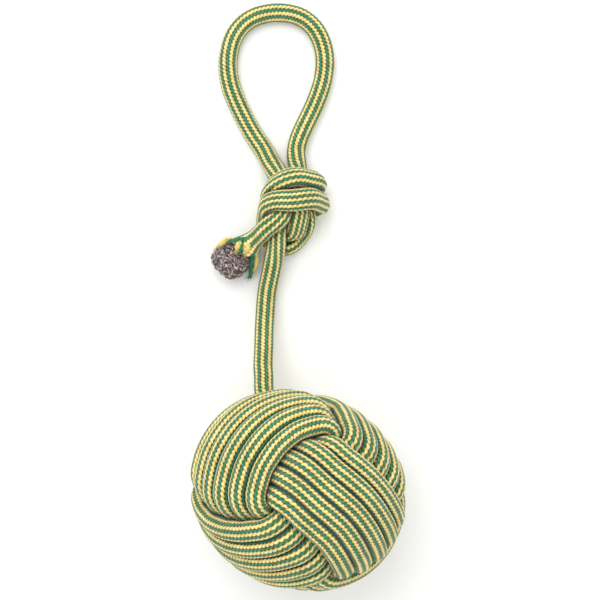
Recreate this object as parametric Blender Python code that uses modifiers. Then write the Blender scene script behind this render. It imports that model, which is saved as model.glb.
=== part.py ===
"""Rope ball with a hand loop: a monkey's fist wound over a core ball, a bending stem,
an overhand loop knot tied in the doubled rope, and a short frayed tail.

All sizes are in metres. +Z is up, the piece lies on z = 0, and +Y runs from the fist to the loop.
X and Y are counted from the centre of the fist, and the finished model is then moved so
that the origin is on the flat spot that the fist rests on.

The fist's turns follow from the ball and the rope. Past the fist the rope follows routes
that are drawn for a rope of 10.2 mm, and grow with the rope.
"""

import math

import bmesh
import bpy
import numpy as np
from mathutils import Matrix, Vector

MM = 0.001
TAU = 2 * math.pi

# Driving dimensions
BALL_DIAMETER = 110 * MM          # across the finished fist
ROPE_DIAMETER = 10.2 * MM         # free rope: stem, loop and tail
LOOP_LENGTH = 76.4 * MM           # from the knot to the far end of the hand loop
TOUCH_GAP = 0.3 * MM              # gap left between pieces that touch
CORE_GAP = 0.8 * MM               # between the core ball and the turns next to it
FLAT_SHARE = 0.1                  # share of the rope's diameter that is pressed flat on the ground

# Rope that is squeezed by its neighbours
FIST_ROPE = 0.87 * ROPE_DIAMETER
KNOT_ROPE = 0.80 * ROPE_DIAMETER
TAIL_ROPE = 0.92 * ROPE_DIAMETER
STRAND_SPACING = 0.98 * ROPE_DIAMETER     # least distance wanted between centre lines in the fist
KNOT_SPACING = 0.86 * ROPE_DIAMETER       # and in the knot, which is pulled tighter
LAYER_STEP = ROPE_DIAMETER                # outer turns stand this far above the turns they cover
TURN_THICKNESS = 0.94 * ROPE_DIAMETER     # height of a pressed outer turn on the ball

# Winding of the fist
FIRST_SET_TURNS = round(0.545 * BALL_DIAMETER / STRAND_SPACING) - 0.08
NEXT_SET_TURNS = round(0.455 * BALL_DIAMETER / STRAND_SPACING)
LAST_SET_TURNS = NEXT_SET_TURNS - 0.02
FIRST_SET = {"turns": FIRST_SET_TURNS, "pitch": 0.97 * ROPE_DIAMETER, "start": math.radians(75)}
SECOND_SET = {"turns": NEXT_SET_TURNS, "pitch": -1.07 * ROPE_DIAMETER, "start": math.radians(-90)}
THIRD_SET = {"turns": LAST_SET_TURNS, "pitch": 1.07 * ROPE_DIAMETER, "start": math.radians(-90)}
DIVE = (-0.3 * ROPE_DIAMETER, 1.37 * ROPE_DIAMETER)  # where a strand dives, past the strand above it
FINE_STEP = 0.324 * ROPE_DIAMETER         # step of the points that the winding is settled on
POINTS_PER_SOLID_STEP = 4                 # one point of the solid for so many settled points
LINK_POINTS = np.arange(0, 25, 2)         # and every second one where a set passes into the next
SOLID_SAG = 0.7 * MM                      # the faceted turns lie this far inside the round ones
FINAL_SLACK = 0.05                        # how much the last rounds of settling even a strand out

# The fist is pulled out of round: each row says where a millimetre along X, Y or Z ends up
FIST_SHAPE = np.array([[1.03, -0.052, 0.0], [-0.052, 0.943, 0.0], [0.0, 0.0, 1.0]])
ROUND_AGAIN = np.linalg.inv(FIST_SHAPE)

# Directions of the fist's three faces, as the piece lies
FACE_LEFT = Vector((-0.567, 0.668, 0.481))
FACE_RIGHT = Vector((0.583, -0.086, 0.808))

# Stem: where it leaves the fist, in outer radii from the centre, and the play at its bending places
EXIT = Vector((-0.339, 0.892, -0.412))
BEND_CLEARANCE = 0.35 * MM        # between the round end and the hollow it turns in
BEND_STANDOFF = ROPE_DIAMETER / 3  # the hollowed end starts this far past the pivot

# Tail and frayed end
TAIL_WALL = 1.5 * MM              # thickness of the rope's braided cover
TAIL_FLARE = 2.2 * MM             # the cover opens by this much at the cut
TUFT_DIAMETER = 17.0 * MM         # spread of the core fibres
TUFT_LENGTH = 13.5 * MM           # from the mouth of the cover to the front of the fibres
TUFT_NECK = 2.6 * MM              # the fibres start to spread this far past the mouth
TUFT_WRAP = math.radians(150)     # how far round the head of fibres closes
TAIL_AXIS = Vector((-0.70, -0.58, -0.35))
TAIL_STRAIGHT = 9.0 * MM          # straight stretch of the hollow cover
YARN_DIAMETER = 1.7 * MM

# Routes past the fist, in units: X from the fist's centre, Y from its edge, Z from the ground
UNIT = ROPE_DIAMETER / 10.2
ROUTE_SHIFT = (-1.0, -0.5, 0.0)   # from the points below to where they are laid
BENDS = [(-17.9, 11.8, 23.4), (-17.4, 32.8, 12.6), (-16.1, 52.8, 6)]
STEM_ROUTE = [BENDS[0], (-17.6, 22.8, 17.6), BENDS[1], (-16.9, 42.8, 8.6), BENDS[2],
              (-15, 59.8, 5.6)]
TAIL_PLACE = (-28.9, 75.7, 12)
TAIL_STRAND_ROUTE = [
    (-16.8, 128.0, 4.2), (-13.4, 121.1, 7.5), (-8.4, 112.7, 13.5), (-4.1, 103.0, 16),
    (-1, 95.4, 17), (-1.8, 89.2, 13), (-5, 85.4, 7.5), (-9, 84.6, 4.3),
    (-12.2, 86.6, 4.2), (-14, 90.6, 4.5), (-14.8, 95.3, 8), (-14.8, 100.5, 15),
    (-12.6, 105.6, 21), (-7.8, 109.6, 23.5), (-0.9, 112.3, 24), (5, 113.0, 22),
    (9.4, 111.8, 16), (9.2, 110.2, 8), (5.5, 107.6, 4.2), (0.2, 104.2, 4.2),
    (-5.2, 99.2, 6), (-9.4, 94.0, 13), (-14.6, 88.0, 17.5)]
STEM_STRAND_ROUTE = [
    (-0.4, 128.0, 4.2), (0.2, 121.1, 8), (1.8, 112.8, 14.5), (4.8, 103.0, 15.5),
    (6.8, 94.4, 14), (4.8, 88.0, 9.5), (1.0, 82.8, 5.5), (-4, 78.4, 4.2),
    (-9, 76.6, 4.2), (-13.2, 78.2, 4.2), (-16, 83.2, 4.2), (-17.6, 88.4, 7),
    (-16.8, 92.0, 14), (-14.4, 96.3, 21), (-9.4, 99.2, 24), (-2.2, 101.0, 25),
    (5, 101.4, 24), (10.8, 101.2, 19), (13, 100.2, 12), (11, 98.4, 5.5),
    (6.2, 96.6, 4.2), (1.0, 94.2, 4.2), (-3.8, 90.0, 6.5), (-7.2, 83.4, 11.8),
    (-10.2, 76.6, 12.4), (-12.5, 69.9, 9.4), (-14.5, 61.8, 6.9), (-16.1, 52.8, 6)]
LOOP_ROUTE = [
    (-16.8, 128.0, 4.2), (-21, 134.4, 4.1), (-25.6, 141.7, 4.1), (-32.6, 155.8, 4.1),
    (-36.6, 167.8, 4.1), (-37.2, 180.3, 4.1), (-33.4, 192.8, 4.1), (-24.4, 201.4, 4.1),
    (-10.8, 204.4, 4.1), (2.2, 202.0, 4.1), (11, 194.0, 4.1), (15.2, 181.8, 4.1),
    (14.6, 168.8, 4.1), (10.4, 155.8, 4.1), (3.6, 141.3, 4.1), (0.8, 134.4, 4.1),
    (-0.4, 128.0, 4.2)]

# Planes that pull the knot tight at its lower right and left: normal, a point, least and greatest Y
KNOT_WALLS = [
    ((0.75, -0.66, 0.0), (1.3, 83.4, 0.0), (0, 74, 0), (0, 104, 0)),
    ((-0.978, 0.207, 0.0), (-17.4, 89.5, 0.0), (0, 84, 0), (0, 106, 0))]
KNOT_STEP = 2.5 * MM              # step of the points that the knot is settled on at last

# Frayed yarns round the mouth of the cover: angle in degrees, length and spread in mm, colour
YARNS = [
    (-18, 8.0, 0.6, "yellow"), (16, 12.0, 0.4, "yellow"), (46, 7.0, 1.2, "green"),
    (74, 6.0, 0.8, "yellow"), (101, 5.5, 1.4, "green"), (128, 6.5, 0.8, "yellow"),
    (155, 9.0, 1.2, "green"), (181, 13.0, 1.8, "yellow"), (207, 16.0, 1.2, "green")]

# Values worked out from the driving dimensions
OUTER_RADIUS = (BALL_DIAMETER - TURN_THICKNESS) / 2
INNER_RADIUS = OUTER_RADIUS - LAYER_STEP
CORE_REACH = INNER_RADIUS - 0.08 * ROPE_DIAMETER
CORE_RADIUS = CORE_REACH * math.cos(TAU / 48) - FIST_ROPE / 2 - CORE_GAP
FIST_HEIGHT = OUTER_RADIUS + FIST_ROPE * (0.5 - FLAT_SHARE) - SOLID_SAG
KNOT_REST = KNOT_ROPE * (0.5 - FLAT_SHARE)
CORE_SHANK = TAIL_ROPE / 2 - TAIL_WALL - TOUCH_GAP
TAIL_MOUTH = TAIL_ROPE + TAIL_FLARE

# Plain colours and roughness of the materials
COLOURS = {
    "rope": ((0.50, 0.55, 0.20), 0.85), "yellow": ((0.80, 0.62, 0.20), 0.85),
    "green": ((0.03, 0.24, 0.14), 0.85), "fibre": ((0.19, 0.15, 0.15), 0.95),
    "rubber": ((0.05, 0.05, 0.05), 0.7)}


def clear_scene():
    """Remove the objects that the scene starts with."""
    for obj in list(bpy.data.objects):
        bpy.data.objects.remove(obj, do_unlink=True)


def make_collection(name):
    """Return a new collection under the scene's own."""
    collection = bpy.data.collections.new(name)
    bpy.context.scene.collection.children.link(collection)
    return collection


def make_material(name):
    """Return a plain material with the colour and roughness listed under its name."""
    colour, roughness = COLOURS[name]
    material = bpy.data.materials.new(name)
    material.use_nodes = True
    shader = material.node_tree.nodes["Principled BSDF"]
    shader.inputs["Base Color"].default_value = (*colour, 1.0)
    shader.inputs["Roughness"].default_value = roughness
    shader.inputs["Metallic"].default_value = 0.0
    return material


# Curves and points

def placed(route):
    """Return a route's points in metres, from the centre of the fist."""
    return (np.array(route, float) + ROUTE_SHIFT) * UNIT + np.array([0.0, OUTER_RADIUS, 0.0])


def evenly(points, step):
    """Return points about one step apart along the line through the given points."""
    lengths = np.linalg.norm(np.diff(points, axis=0), axis=1)
    travel = np.concatenate([[0.0], np.cumsum(lengths)])
    count = max(2, int(round(travel[-1] / step)) + 1)
    at = np.linspace(0.0, travel[-1], count)
    return np.stack([np.interp(at, travel, points[:, k]) for k in range(3)], axis=1)


def smooth_curve(route, step):
    """Return points one step apart on a smooth curve through a route."""
    knots = np.asarray(route, float)
    knots = np.vstack([2 * knots[0] - knots[1], knots, 2 * knots[-1] - knots[-2]])
    t = np.linspace(0.0, 1.0, 40, endpoint=False)[:, None]
    pieces = []
    for before, a, b, after in zip(knots[:-3], knots[1:-2], knots[2:-1], knots[3:]):
        pieces.append(hermite(a, b, (b - before) / 2, (after - a) / 2, t))
    return evenly(np.vstack(pieces + [knots[-2][None]]), step)


def hermite(a, b, leave, arrive, t):
    """Return points of the cubic from a to b with the given end directions."""
    return ((2 * t**3 - 3 * t**2 + 1) * a + (t**3 - 2 * t**2 + t) * leave
            + (-2 * t**3 + 3 * t**2) * b + (t**3 - t**2) * arrive)


def join_strands(first, second, count=14):
    """Return the points that lead from the end of one strand to the start of the next."""
    reach = np.linalg.norm(second[0] - first[-1])
    leave = first[-1] - first[-3]
    arrive = second[2] - second[0]
    leave = leave / np.linalg.norm(leave) * reach
    arrive = arrive / np.linalg.norm(arrive) * reach
    t = np.linspace(0.0, 1.0, count + 2)[1:-1, None]
    return hermite(first[-1], second[0], leave, arrive, t)


def ease(x):
    """Return the smooth step from 0 to 1 of a value."""
    x = np.clip(x, 0.0, 1.0)
    return x * x * (3 - 2 * x)


def trim(points, start=0.0, end=0.0):
    """Return a line shortened by a length at each end."""
    travel = np.concatenate([[0.0], np.cumsum(np.linalg.norm(np.diff(points, axis=0), axis=1))])
    inside = (travel > start + 0.2 * MM) & (travel < travel[-1] - end - 0.2 * MM)
    ends = [np.array([np.interp(at, travel, points[:, k]) for k in range(3)])
            for at in (start, travel[-1] - end)]
    return np.vstack([ends[0], points[inside], ends[1]])


# Winding and settling

class TurnSet:
    """One set of turns: rings stacked along an axis, outside on two faces and inside on two."""

    def __init__(self, stack, outer, under, turns, pitch, start):
        self.stack, self.outer, self.under = stack, outer, under
        self.turns, self.pitch, self.start = turns, pitch, start
        self.first = -pitch * turns / 2

    def offset(self, angle):
        """Return how far along the stack a strand is at an angle."""
        return self.first + self.pitch * (angle - self.start) / TAU

    def edges(self, face):
        """Return the lowest and highest offset of the strands that cross a face."""
        angles = face + TAU * np.arange(-1, 9)
        crossing = angles[(angles >= self.start) & (angles <= self.start + self.turns * TAU)]
        offsets = self.offset(crossing)
        return offsets.min(), offsets.max()

    def path(self, cover, steps=96):
        """Return the centre line; the set `cover` lies over this one on the under faces."""
        angle = self.start + np.linspace(0.0, self.turns * TAU, int(round(self.turns * steps)) + 1)
        offset = self.offset(angle)
        cosine, sine = np.cos(angle), np.sin(angle)
        same_face = cover.outer @ self.under > 0
        side = np.sign(cover.stack @ self.outer)
        near = cover.edges(0.0 if same_face else math.pi)
        far = cover.edges(math.pi if same_face else 0.0)
        ring = np.sqrt(np.clip(OUTER_RADIUS**2 - offset**2, MM**2, None))
        reach = cosine * ring * side
        edge = np.where(sine >= 0, np.where(reach >= 0, near[1], -near[0]),
                        np.where(reach >= 0, far[1], -far[0]))
        height = INNER_RADIUS + LAYER_STEP * ease((np.abs(reach) - edge - DIVE[0]) / (DIVE[1] - DIVE[0]))
        ring = np.sqrt(np.maximum(height**2 - offset**2, MM**2))
        around = cosine[:, None] * self.outer + sine[:, None] * self.under
        return offset[:, None] * self.stack + ring[:, None] * around


def near_pairs(points, strand, reach, skip):
    """Return the index pairs of points that lie within reach and aren't neighbours on a strand."""
    square = np.sum(points**2, axis=1)
    apart = square[:, None] + square[None, :] - 2 * points @ points.T
    first, second = np.where(np.triu(apart < reach * reach, 1))
    real = (strand[first] != strand[second]) | (second - first >= skip)
    return first[real], second[real]


def sampler(counts, between):
    """Return the matrix that reads points between a set of lines' own points."""
    rows = sum((count - 1) * between + 1 for count in counts)
    matrix = np.zeros((rows, sum(counts)))
    row = column = 0
    for count in counts:
        for k in range((count - 1) * between + 1):
            low = min(k // between, count - 2)
            part = k / between - low
            matrix[row, column + low] = 1 - part
            matrix[row, column + low + 1] += part
            row += 1
        column += count
    return matrix


def pressed(points):
    """Return points about the fist's centre, pressed out of round as the fist is."""
    beyond = (np.linalg.norm(points, axis=1) - OUTER_RADIUS) / (1.5 * ROPE_DIAMETER)
    return points + (points @ FIST_SHAPE - points) * (1 - ease(beyond))[:, None]


def settle(routes, held, spacing, rounds, skip, slack, final_rounds, keep_shape,
           core=None, shell=None, ground=None, between=1, unpress=None, walls=()):
    """Push the strands apart until their centre lines keep a spacing, as pulled-tight rope does.

    Each round moves close points apart and then evens the line out: about its first shape
    where keep_shape is set, or about a straight pull where it isn't. Where between is over 1,
    the distances are also taken at that many places along each straight stretch. The core
    and shell bound the distance from the centre, after unpress has made the fist round again.
    The ground and the walls press from outside.
    """
    counts = [len(route) for route in routes]
    reader = sampler(counts, between)
    strand = np.concatenate([np.full((count - 1) * between + 1, k) for k, count in enumerate(counts)])
    own = np.concatenate([np.full(count, k) for k, count in enumerate(counts)])
    points = np.vstack(routes).astype(float)
    hold = np.concatenate(held)
    base = points.copy() if keep_shape else np.zeros_like(points)
    inside = np.zeros(len(points), bool)
    inside[1:-1] = (own[1:-1] == own[:-2]) & (own[1:-1] == own[2:])
    inside &= ~hold
    for turn in range(rounds + final_rounds):
        share = slack if turn < rounds else FINAL_SLACK
        samples = points if between == 1 else reader @ points
        if turn % 15 == 0:
            first, second = near_pairs(samples, strand, spacing * 1.4, skip * between)
        apart = samples[first] - samples[second]
        distance = np.linalg.norm(apart, axis=1)
        lack = np.clip(spacing - distance, 0.0, None)
        push = apart / np.maximum(distance, 1e-9)[:, None] * (0.5 * lack)[:, None]
        move = np.zeros_like(samples)
        count = np.zeros(len(samples))
        for index, sign in ((first, 1.0), (second, -1.0)):
            np.add.at(move, index, sign * push)
            np.add.at(count, index, lack > 0)
        move /= np.sqrt(np.maximum(count, 1.0))[:, None]
        if between > 1:
            share_of = reader.T @ (count > 0)
            move = (reader.T @ move) / np.maximum(share_of, 0.5)[:, None]
        move[hold] = 0.0
        away = points + 0.6 * move - base
        mean = away.copy()
        mean[1:-1] = 0.25 * away[:-2] + 0.5 * away[1:-1] + 0.25 * away[2:]
        away[inside] = (1 - share) * away[inside] + share * mean[inside]
        points = base + away
        if core is not None:
            radius = np.linalg.norm(points if unpress is None else points @ unpress, axis=1)
            low, high = (radius < core) & ~hold, (radius > shell) & ~hold
            points[low] *= (core / radius[low])[:, None]
            points[high] *= (0.5 + 0.5 * shell / radius[high])[:, None]
        if ground is not None:
            points[~hold, 2] = np.maximum(points[~hold, 2], ground)
        for normal, limit, low_end, high_end in walls:
            free = hold | (points[:, 1] < low_end) | (points[:, 1] > high_end)
            beyond = np.where(free, 0.0, np.maximum(points @ normal - limit, 0.0))
            points -= 0.5 * beyond[:, None] * normal
    return np.split(points, np.cumsum(counts)[:-1])


def least_gap(lines, skip):
    """Return the least distance between centre lines, without a strand's own neighbours."""
    strand = np.concatenate([np.full(len(line), k) for k, line in enumerate(lines)])
    points = np.vstack(lines)
    first, second = near_pairs(points, strand, 20 * MM, skip)
    return float(np.linalg.norm(points[first] - points[second], axis=1).min())


def wind_fist():
    """Return the settled centre line of the fist, about its centre, and the index of each joint."""
    left = np.array(FACE_LEFT.normalized())
    right = np.array(FACE_RIGHT)
    right = right - left * (left @ right)
    right /= np.linalg.norm(right)
    top = np.cross(left, right)
    first_set = TurnSet(right, left, top, **FIRST_SET)
    second_set = TurnSet(top, -right, left, **SECOND_SET)
    third_set = TurnSet(left, top, right, **THIRD_SET)
    first, second = first_set.path(third_set), second_set.path(first_set)
    third = third_set.path(second_set)

    lift = np.array([0.0, 0.0, FIST_HEIGHT])
    exit_line = evenly(np.array([placed(BENDS[0]) - lift, np.array(EXIT) * OUTER_RADIUS]), 6 * MM)
    corner = (left * 0.57 - right * 0.57 + top * 0.60) * (INNER_RADIUS + 0.5 * MM)
    lead = smooth_curve(np.vstack([exit_line, corner[None], first[4][None]]), 2 * MM)[:-1]
    link_1, link_2 = join_strands(first, second), join_strands(second, third)
    stretches = [np.vstack([lead, first[4:]]), link_1, second, link_2, third]
    line = evenly(np.vstack(stretches), FINE_STEP)

    lengths = [np.sum(np.linalg.norm(np.diff(part, axis=0), axis=1)) for part in stretches]
    gaps = [np.linalg.norm(b[0] - a[-1]) for a, b in zip(stretches[:-1], stretches[1:])]
    to_link_1 = lengths[0] + gaps[0] + lengths[1] / 2
    to_link_2 = sum(lengths[:3]) + sum(gaps[:3]) + lengths[3] / 2
    lead_length = np.sum(np.linalg.norm(np.diff(lead, axis=0), axis=1))
    cuts = [int(round(at / FINE_STEP)) for at in (lead_length, to_link_1, to_link_2)]

    held = np.zeros(len(line), bool)
    held[:4] = True
    settled = settle([line], [held], STRAND_SPACING, rounds=400, skip=9, slack=0.45, final_rounds=600,
                     keep_shape=True, core=CORE_REACH, shell=OUTER_RADIUS)[0]
    settled = pressed(settled)
    held = np.linalg.norm(settled @ ROUND_AGAIN, axis=1) > OUTER_RADIUS + 0.5 * MM
    held[:4] = True
    settled = settle([settled], [held], STRAND_SPACING, rounds=0, skip=9, slack=0.0, final_rounds=300,
                     keep_shape=True, core=CORE_REACH, shell=OUTER_RADIUS, unpress=ROUND_AGAIN)[0]
    print("least centre distance in the fist, mm:", round(least_gap([settled], 12) / MM, 2))
    return settled, cuts


def tie_knot():
    """Return the settled centre lines of the knot's two strands, and the line of the hand loop.

    The strands and the loop are one rope, so each meets the next in the middle of a straight step.
    """
    axis = np.array(TAIL_AXIS.normalized())
    mouth = placed(TAIL_PLACE)
    straight = [mouth - axis * (TAIL_STRAIGHT + reach * MM) for reach in (6, 3, 0)] + [mouth]
    tail_route = np.vstack([placed(TAIL_STRAND_ROUTE), straight])
    stem_route = placed(STEM_STRAND_ROUTE)
    loop_route = placed(LOOP_ROUTE)
    along = loop_route[:, 1] - loop_route[0, 1]
    loop_route[:, 1] = loop_route[0, 1] + along * LOOP_LENGTH / along.max()
    chain = smooth_curve(np.vstack([tail_route[::-1], loop_route[1:-1], stem_route]), MM)
    ends = [int(np.argmin(np.linalg.norm(chain - route[0], axis=1)))
            for route in (tail_route, stem_route)]
    tail_line = evenly(chain[:ends[0] + 1][::-1], 3 * MM)
    loop_line = evenly(chain[ends[0]:ends[1] + 1], 4 * MM)
    stem_line = evenly(chain[ends[1]:], 3 * MM)
    walls = [(np.array(normal), placed(spot) @ np.array(normal), placed(low)[1], placed(high)[1])
             for normal, spot, low, high in KNOT_WALLS]
    strands = [tail_line, stem_line]
    strands = settle(strands, held_ends(strands), KNOT_SPACING, rounds=500, skip=5, slack=0.12,
                     final_rounds=250, keep_shape=False, ground=KNOT_REST, walls=walls)
    strands = [evenly(line, KNOT_STEP) for line in strands]
    settled = settle(strands, held_ends(strands), KNOT_SPACING, rounds=0, skip=5, slack=0.0,
                     final_rounds=400, keep_shape=True, ground=KNOT_REST, walls=walls)
    print("least centre distance in the knot, mm:", round(least_gap(settled, 6) / MM, 2))
    tail_line, stem_line = settled
    meet = [(line[0] + line[1]) / 2 for line in settled]
    loop_line = np.vstack([meet[0], tail_line[0], loop_line[1:-1], stem_line[0], meet[1]])
    return np.vstack([meet[0], tail_line[1:]]), np.vstack([meet[1], stem_line[1:]]), loop_line


def held_ends(strands):
    """Tell which points of the knot's two strands stay in place: both their ends."""
    held = []
    for line, straight_end in zip(strands, (TAIL_STRAIGHT + 5 * MM, 4 * MM)):
        hold = np.linalg.norm(line - line[-1], axis=1) < straight_end
        hold[:2] = True
        held.append(hold)
    return held


# Solids

def finish(obj, material):
    """Give an object its material and smooth shading."""
    obj.data.materials.append(material)
    obj.data.shade_smooth()
    obj.data.set_sharp_from_angle(angle=math.radians(50))
    return obj


def cord(name, points, radii, collection, material, resolution=2):
    """Return a closed tube along points, as a mesh with welded caps."""
    curve = bpy.data.curves.new(name, "CURVE")
    curve.dimensions = "3D"
    curve.bevel_depth = 1.0
    curve.bevel_resolution = resolution
    curve.use_fill_caps = True
    spline = curve.splines.new("POLY")
    spline.points.add(len(points) - 1)
    radii = np.broadcast_to(radii, len(points))
    for target, point, radius in zip(spline.points, points, radii):
        target.co = (*point, 1.0)
        target.radius = radius
    guide = bpy.data.objects.new(name + "_guide", curve)
    bpy.context.scene.collection.objects.link(guide)
    depsgraph = bpy.context.evaluated_depsgraph_get()
    mesh = bpy.data.meshes.new_from_object(guide.evaluated_get(depsgraph))
    bpy.data.objects.remove(guide, do_unlink=True)
    weld(mesh)
    mesh.name = name
    obj = bpy.data.objects.new(name, mesh)
    collection.objects.link(obj)
    return finish(obj, material)


def weld(mesh):
    """Weld the loose caps of a converted curve and point its faces out."""
    edit = bmesh.new()
    edit.from_mesh(mesh)
    bmesh.ops.remove_doubles(edit, verts=edit.verts, dist=0.001 * MM)
    bmesh.ops.recalc_face_normals(edit, faces=edit.faces)
    edit.to_mesh(mesh)
    edit.free()


def cutter(obj, collection):
    """Mark an object as a cutter."""
    for owner in list(obj.users_collection):
        owner.objects.unlink(obj)
    collection.objects.link(obj)
    obj.hide_render = True
    obj.display_type = "WIRE"
    return obj


def cut(obj, tool):
    """Cut one object by another."""
    modifier = obj.modifiers.new("cut_by_" + tool.name, "BOOLEAN")
    modifier.operation = "DIFFERENCE"
    modifier.solver = "EXACT"
    modifier.object = tool


def ground_cutter(collection):
    """Return the block under the ground that presses the rope flat."""
    bpy.ops.mesh.primitive_cube_add(size=1.0)
    block = bpy.context.object
    block.name = "ground"
    block.scale = (0.6, 0.8, 0.05)
    block.location = (0.0, 0.1, -0.025)
    return cutter(block, collection)


def ball_cutter(name, centre, radius, collection):
    """Return the ball that hollows the end of a stem piece."""
    bpy.ops.mesh.primitive_uv_sphere_add(segments=24, ring_count=12, radius=radius, location=centre)
    ball = bpy.context.object
    ball.name = name
    return cutter(ball, collection)


def round_end(points, radius, steps=5):
    """Return a line and its radii with a half-round end whose centre is the line's last point."""
    along = points[-1] - points[-2]
    along /= np.linalg.norm(along)
    turn = np.linspace(0.0, math.radians(78), steps + 1)[1:]
    tip = points[-1] + np.outer(np.sin(turn) * radius, along)
    radii = np.concatenate([np.full(len(points), radius), np.cos(turn) * radius])
    return np.vstack([points, tip]), radii


def make_core_ball(collection, materials):
    """Return the ball that the turns are wound over."""
    bpy.ops.mesh.primitive_uv_sphere_add(segments=32, ring_count=16, radius=CORE_RADIUS,
                                         location=(0.0, 0.0, FIST_HEIGHT))
    ball = bpy.context.object
    ball.name = "core_ball"
    shape = np.eye(4)
    shape[:3, :3] = FIST_SHAPE.T
    ball.data.transform(Matrix(shape.tolist()))
    for owner in list(ball.users_collection):
        owner.objects.unlink(ball)
    collection.objects.link(ball)
    return finish(ball, materials["rubber"])


def settle_coarse(line, chain, stem_end):
    """Settle the fist's coarser line, whose straight stretches cut the corners of the fine one."""
    lift = np.array([0.0, 0.0, FIST_HEIGHT])
    stem = line[:stem_end + 1]
    held = [np.ones(len(stem), bool), np.zeros(len(chain), bool)]
    held[1][0] = True
    lines = settle([stem - lift, line[chain] - lift], held, FIST_ROPE + 2 * TOUCH_GAP, rounds=700, skip=3,
                   slack=0.1, final_rounds=0, keep_shape=True, core=CORE_REACH, shell=OUTER_RADIUS,
                   between=4, unpress=ROUND_AGAIN)
    coarse = lines[1]
    print("least distance in the fist's solids, mm:",
          round(least_gap([sampler([len(coarse)], 4) @ coarse], 12) / MM, 2))
    return coarse + lift


def make_fist(line, cuts, ground, collection, materials):
    """Make the three sets of turns and the end of the stem that leaves the fist."""
    line = line + np.array([0.0, 0.0, FIST_HEIGHT])
    stem_end, link_1, link_2 = cuts
    stretches = {"first_turns": (stem_end, link_1), "second_turns": (link_1, link_2),
                 "third_turns": (link_2, len(line) - 1)}
    index = []
    for low, high in stretches.values():
        own = np.arange(low, high, POINTS_PER_SOLID_STEP)
        index.append(np.unique(np.concatenate([own, low + LINK_POINTS, high - LINK_POINTS])))
    chain = np.unique(np.concatenate(index))
    coarse = settle_coarse(line, chain, stem_end)
    for name, own in zip(stretches, index):
        first, last = np.searchsorted(chain, (own[0], own[-1]))
        points = [(coarse[first] + coarse[first + 1]) / 2, *coarse[first + 1:last + 1]]
        if last + 1 < len(coarse):
            points.append((coarse[last] + coarse[last + 1]) / 2)
        points = trim(np.array(points), TOUCH_GAP / 2, TOUCH_GAP / 2)
        turns = cord(name, points, FIST_ROPE / 2, collection, materials["rope"], resolution=1)
        cut(turns, ground)
    points = np.vstack([line[:stem_end], coarse[0], (coarse[0] + coarse[1]) / 2])
    points = trim(points, 0.0, TOUCH_GAP / 2)[::-1]
    points, radii = round_end(points, ROPE_DIAMETER / 2)
    from_centre = np.linalg.norm(points - np.array([0.0, 0.0, FIST_HEIGHT]), axis=1)
    free = ease((from_centre - OUTER_RADIUS) / (10 * MM))
    radii = radii * (FIST_ROPE / ROPE_DIAMETER * (1 - free) + free)
    cord("stem_root", points, radii, collection, materials["rope"])


def make_stem(ground, collection, cutters, materials):
    """Make the two stem pieces between the bending places."""
    fist_centre = np.array([0.0, 0.0, FIST_HEIGHT])
    start = fist_centre + np.array(EXIT) * OUTER_RADIUS
    line = smooth_curve(np.vstack([start, placed(STEM_ROUTE)]), 1 * MM)
    bends = placed(BENDS)
    places = [int(np.argmin(np.linalg.norm(line - bend, axis=1))) for bend in bends]
    for name, low, high, bend in (("stem_lower", places[0], places[1], bends[0]),
                                  ("stem_upper", places[1], places[2], bends[1])):
        points = evenly(trim(line[low:high + 1], BEND_STANDOFF), 3 * MM)
        points, radii = round_end(points, ROPE_DIAMETER / 2)
        piece = cord(name, points, radii, collection, materials["rope"])
        cut(piece, ball_cutter(name + "_hollow", bend, ROPE_DIAMETER / 2 + BEND_CLEARANCE, cutters))
        cut(piece, ground)


def make_knot(lines, ground, collection, cutters, materials):
    """Make the two strands of the loop knot and the hand loop."""
    tail_line, stem_line, loop_line = lines
    tail_line = trim(tail_line, TOUCH_GAP / 2, TAIL_STRAIGHT + TOUCH_GAP / 2)
    to_loop = np.linalg.norm(tail_line - tail_line[0], axis=1)
    to_tail = np.linalg.norm(tail_line - tail_line[-1], axis=1)
    radii = (KNOT_ROPE / 2 + (ROPE_DIAMETER - KNOT_ROPE) / 2 * ease(1 - to_loop / (14 * MM))
             + (TAIL_ROPE - KNOT_ROPE) / 2 * ease(1 - to_tail / (8 * MM)))
    tail_strand = cord("knot_tail_strand", tail_line, radii, collection, materials["rope"])
    cut(tail_strand, ground)

    stem_line = trim(stem_line, TOUCH_GAP / 2, BEND_STANDOFF)
    to_end = np.minimum(np.linalg.norm(stem_line - stem_line[0], axis=1),
                        np.linalg.norm(stem_line - stem_line[-1], axis=1))
    radii = KNOT_ROPE / 2 + (ROPE_DIAMETER - KNOT_ROPE) / 2 * ease(1 - to_end / (14 * MM))
    stem_strand = cord("knot_stem_strand", stem_line, radii, collection, materials["rope"])
    hollow = ball_cutter("knot_hollow", placed(BENDS)[2], ROPE_DIAMETER / 2 + BEND_CLEARANCE, cutters)
    cut(stem_strand, hollow)
    cut(stem_strand, ground)

    loop_line = trim(loop_line, TOUCH_GAP / 2, TOUCH_GAP / 2)
    loop = cord("hand_loop", loop_line, ROPE_DIAMETER / 2, collection, materials["rope"])
    cut(loop, ground)


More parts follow.
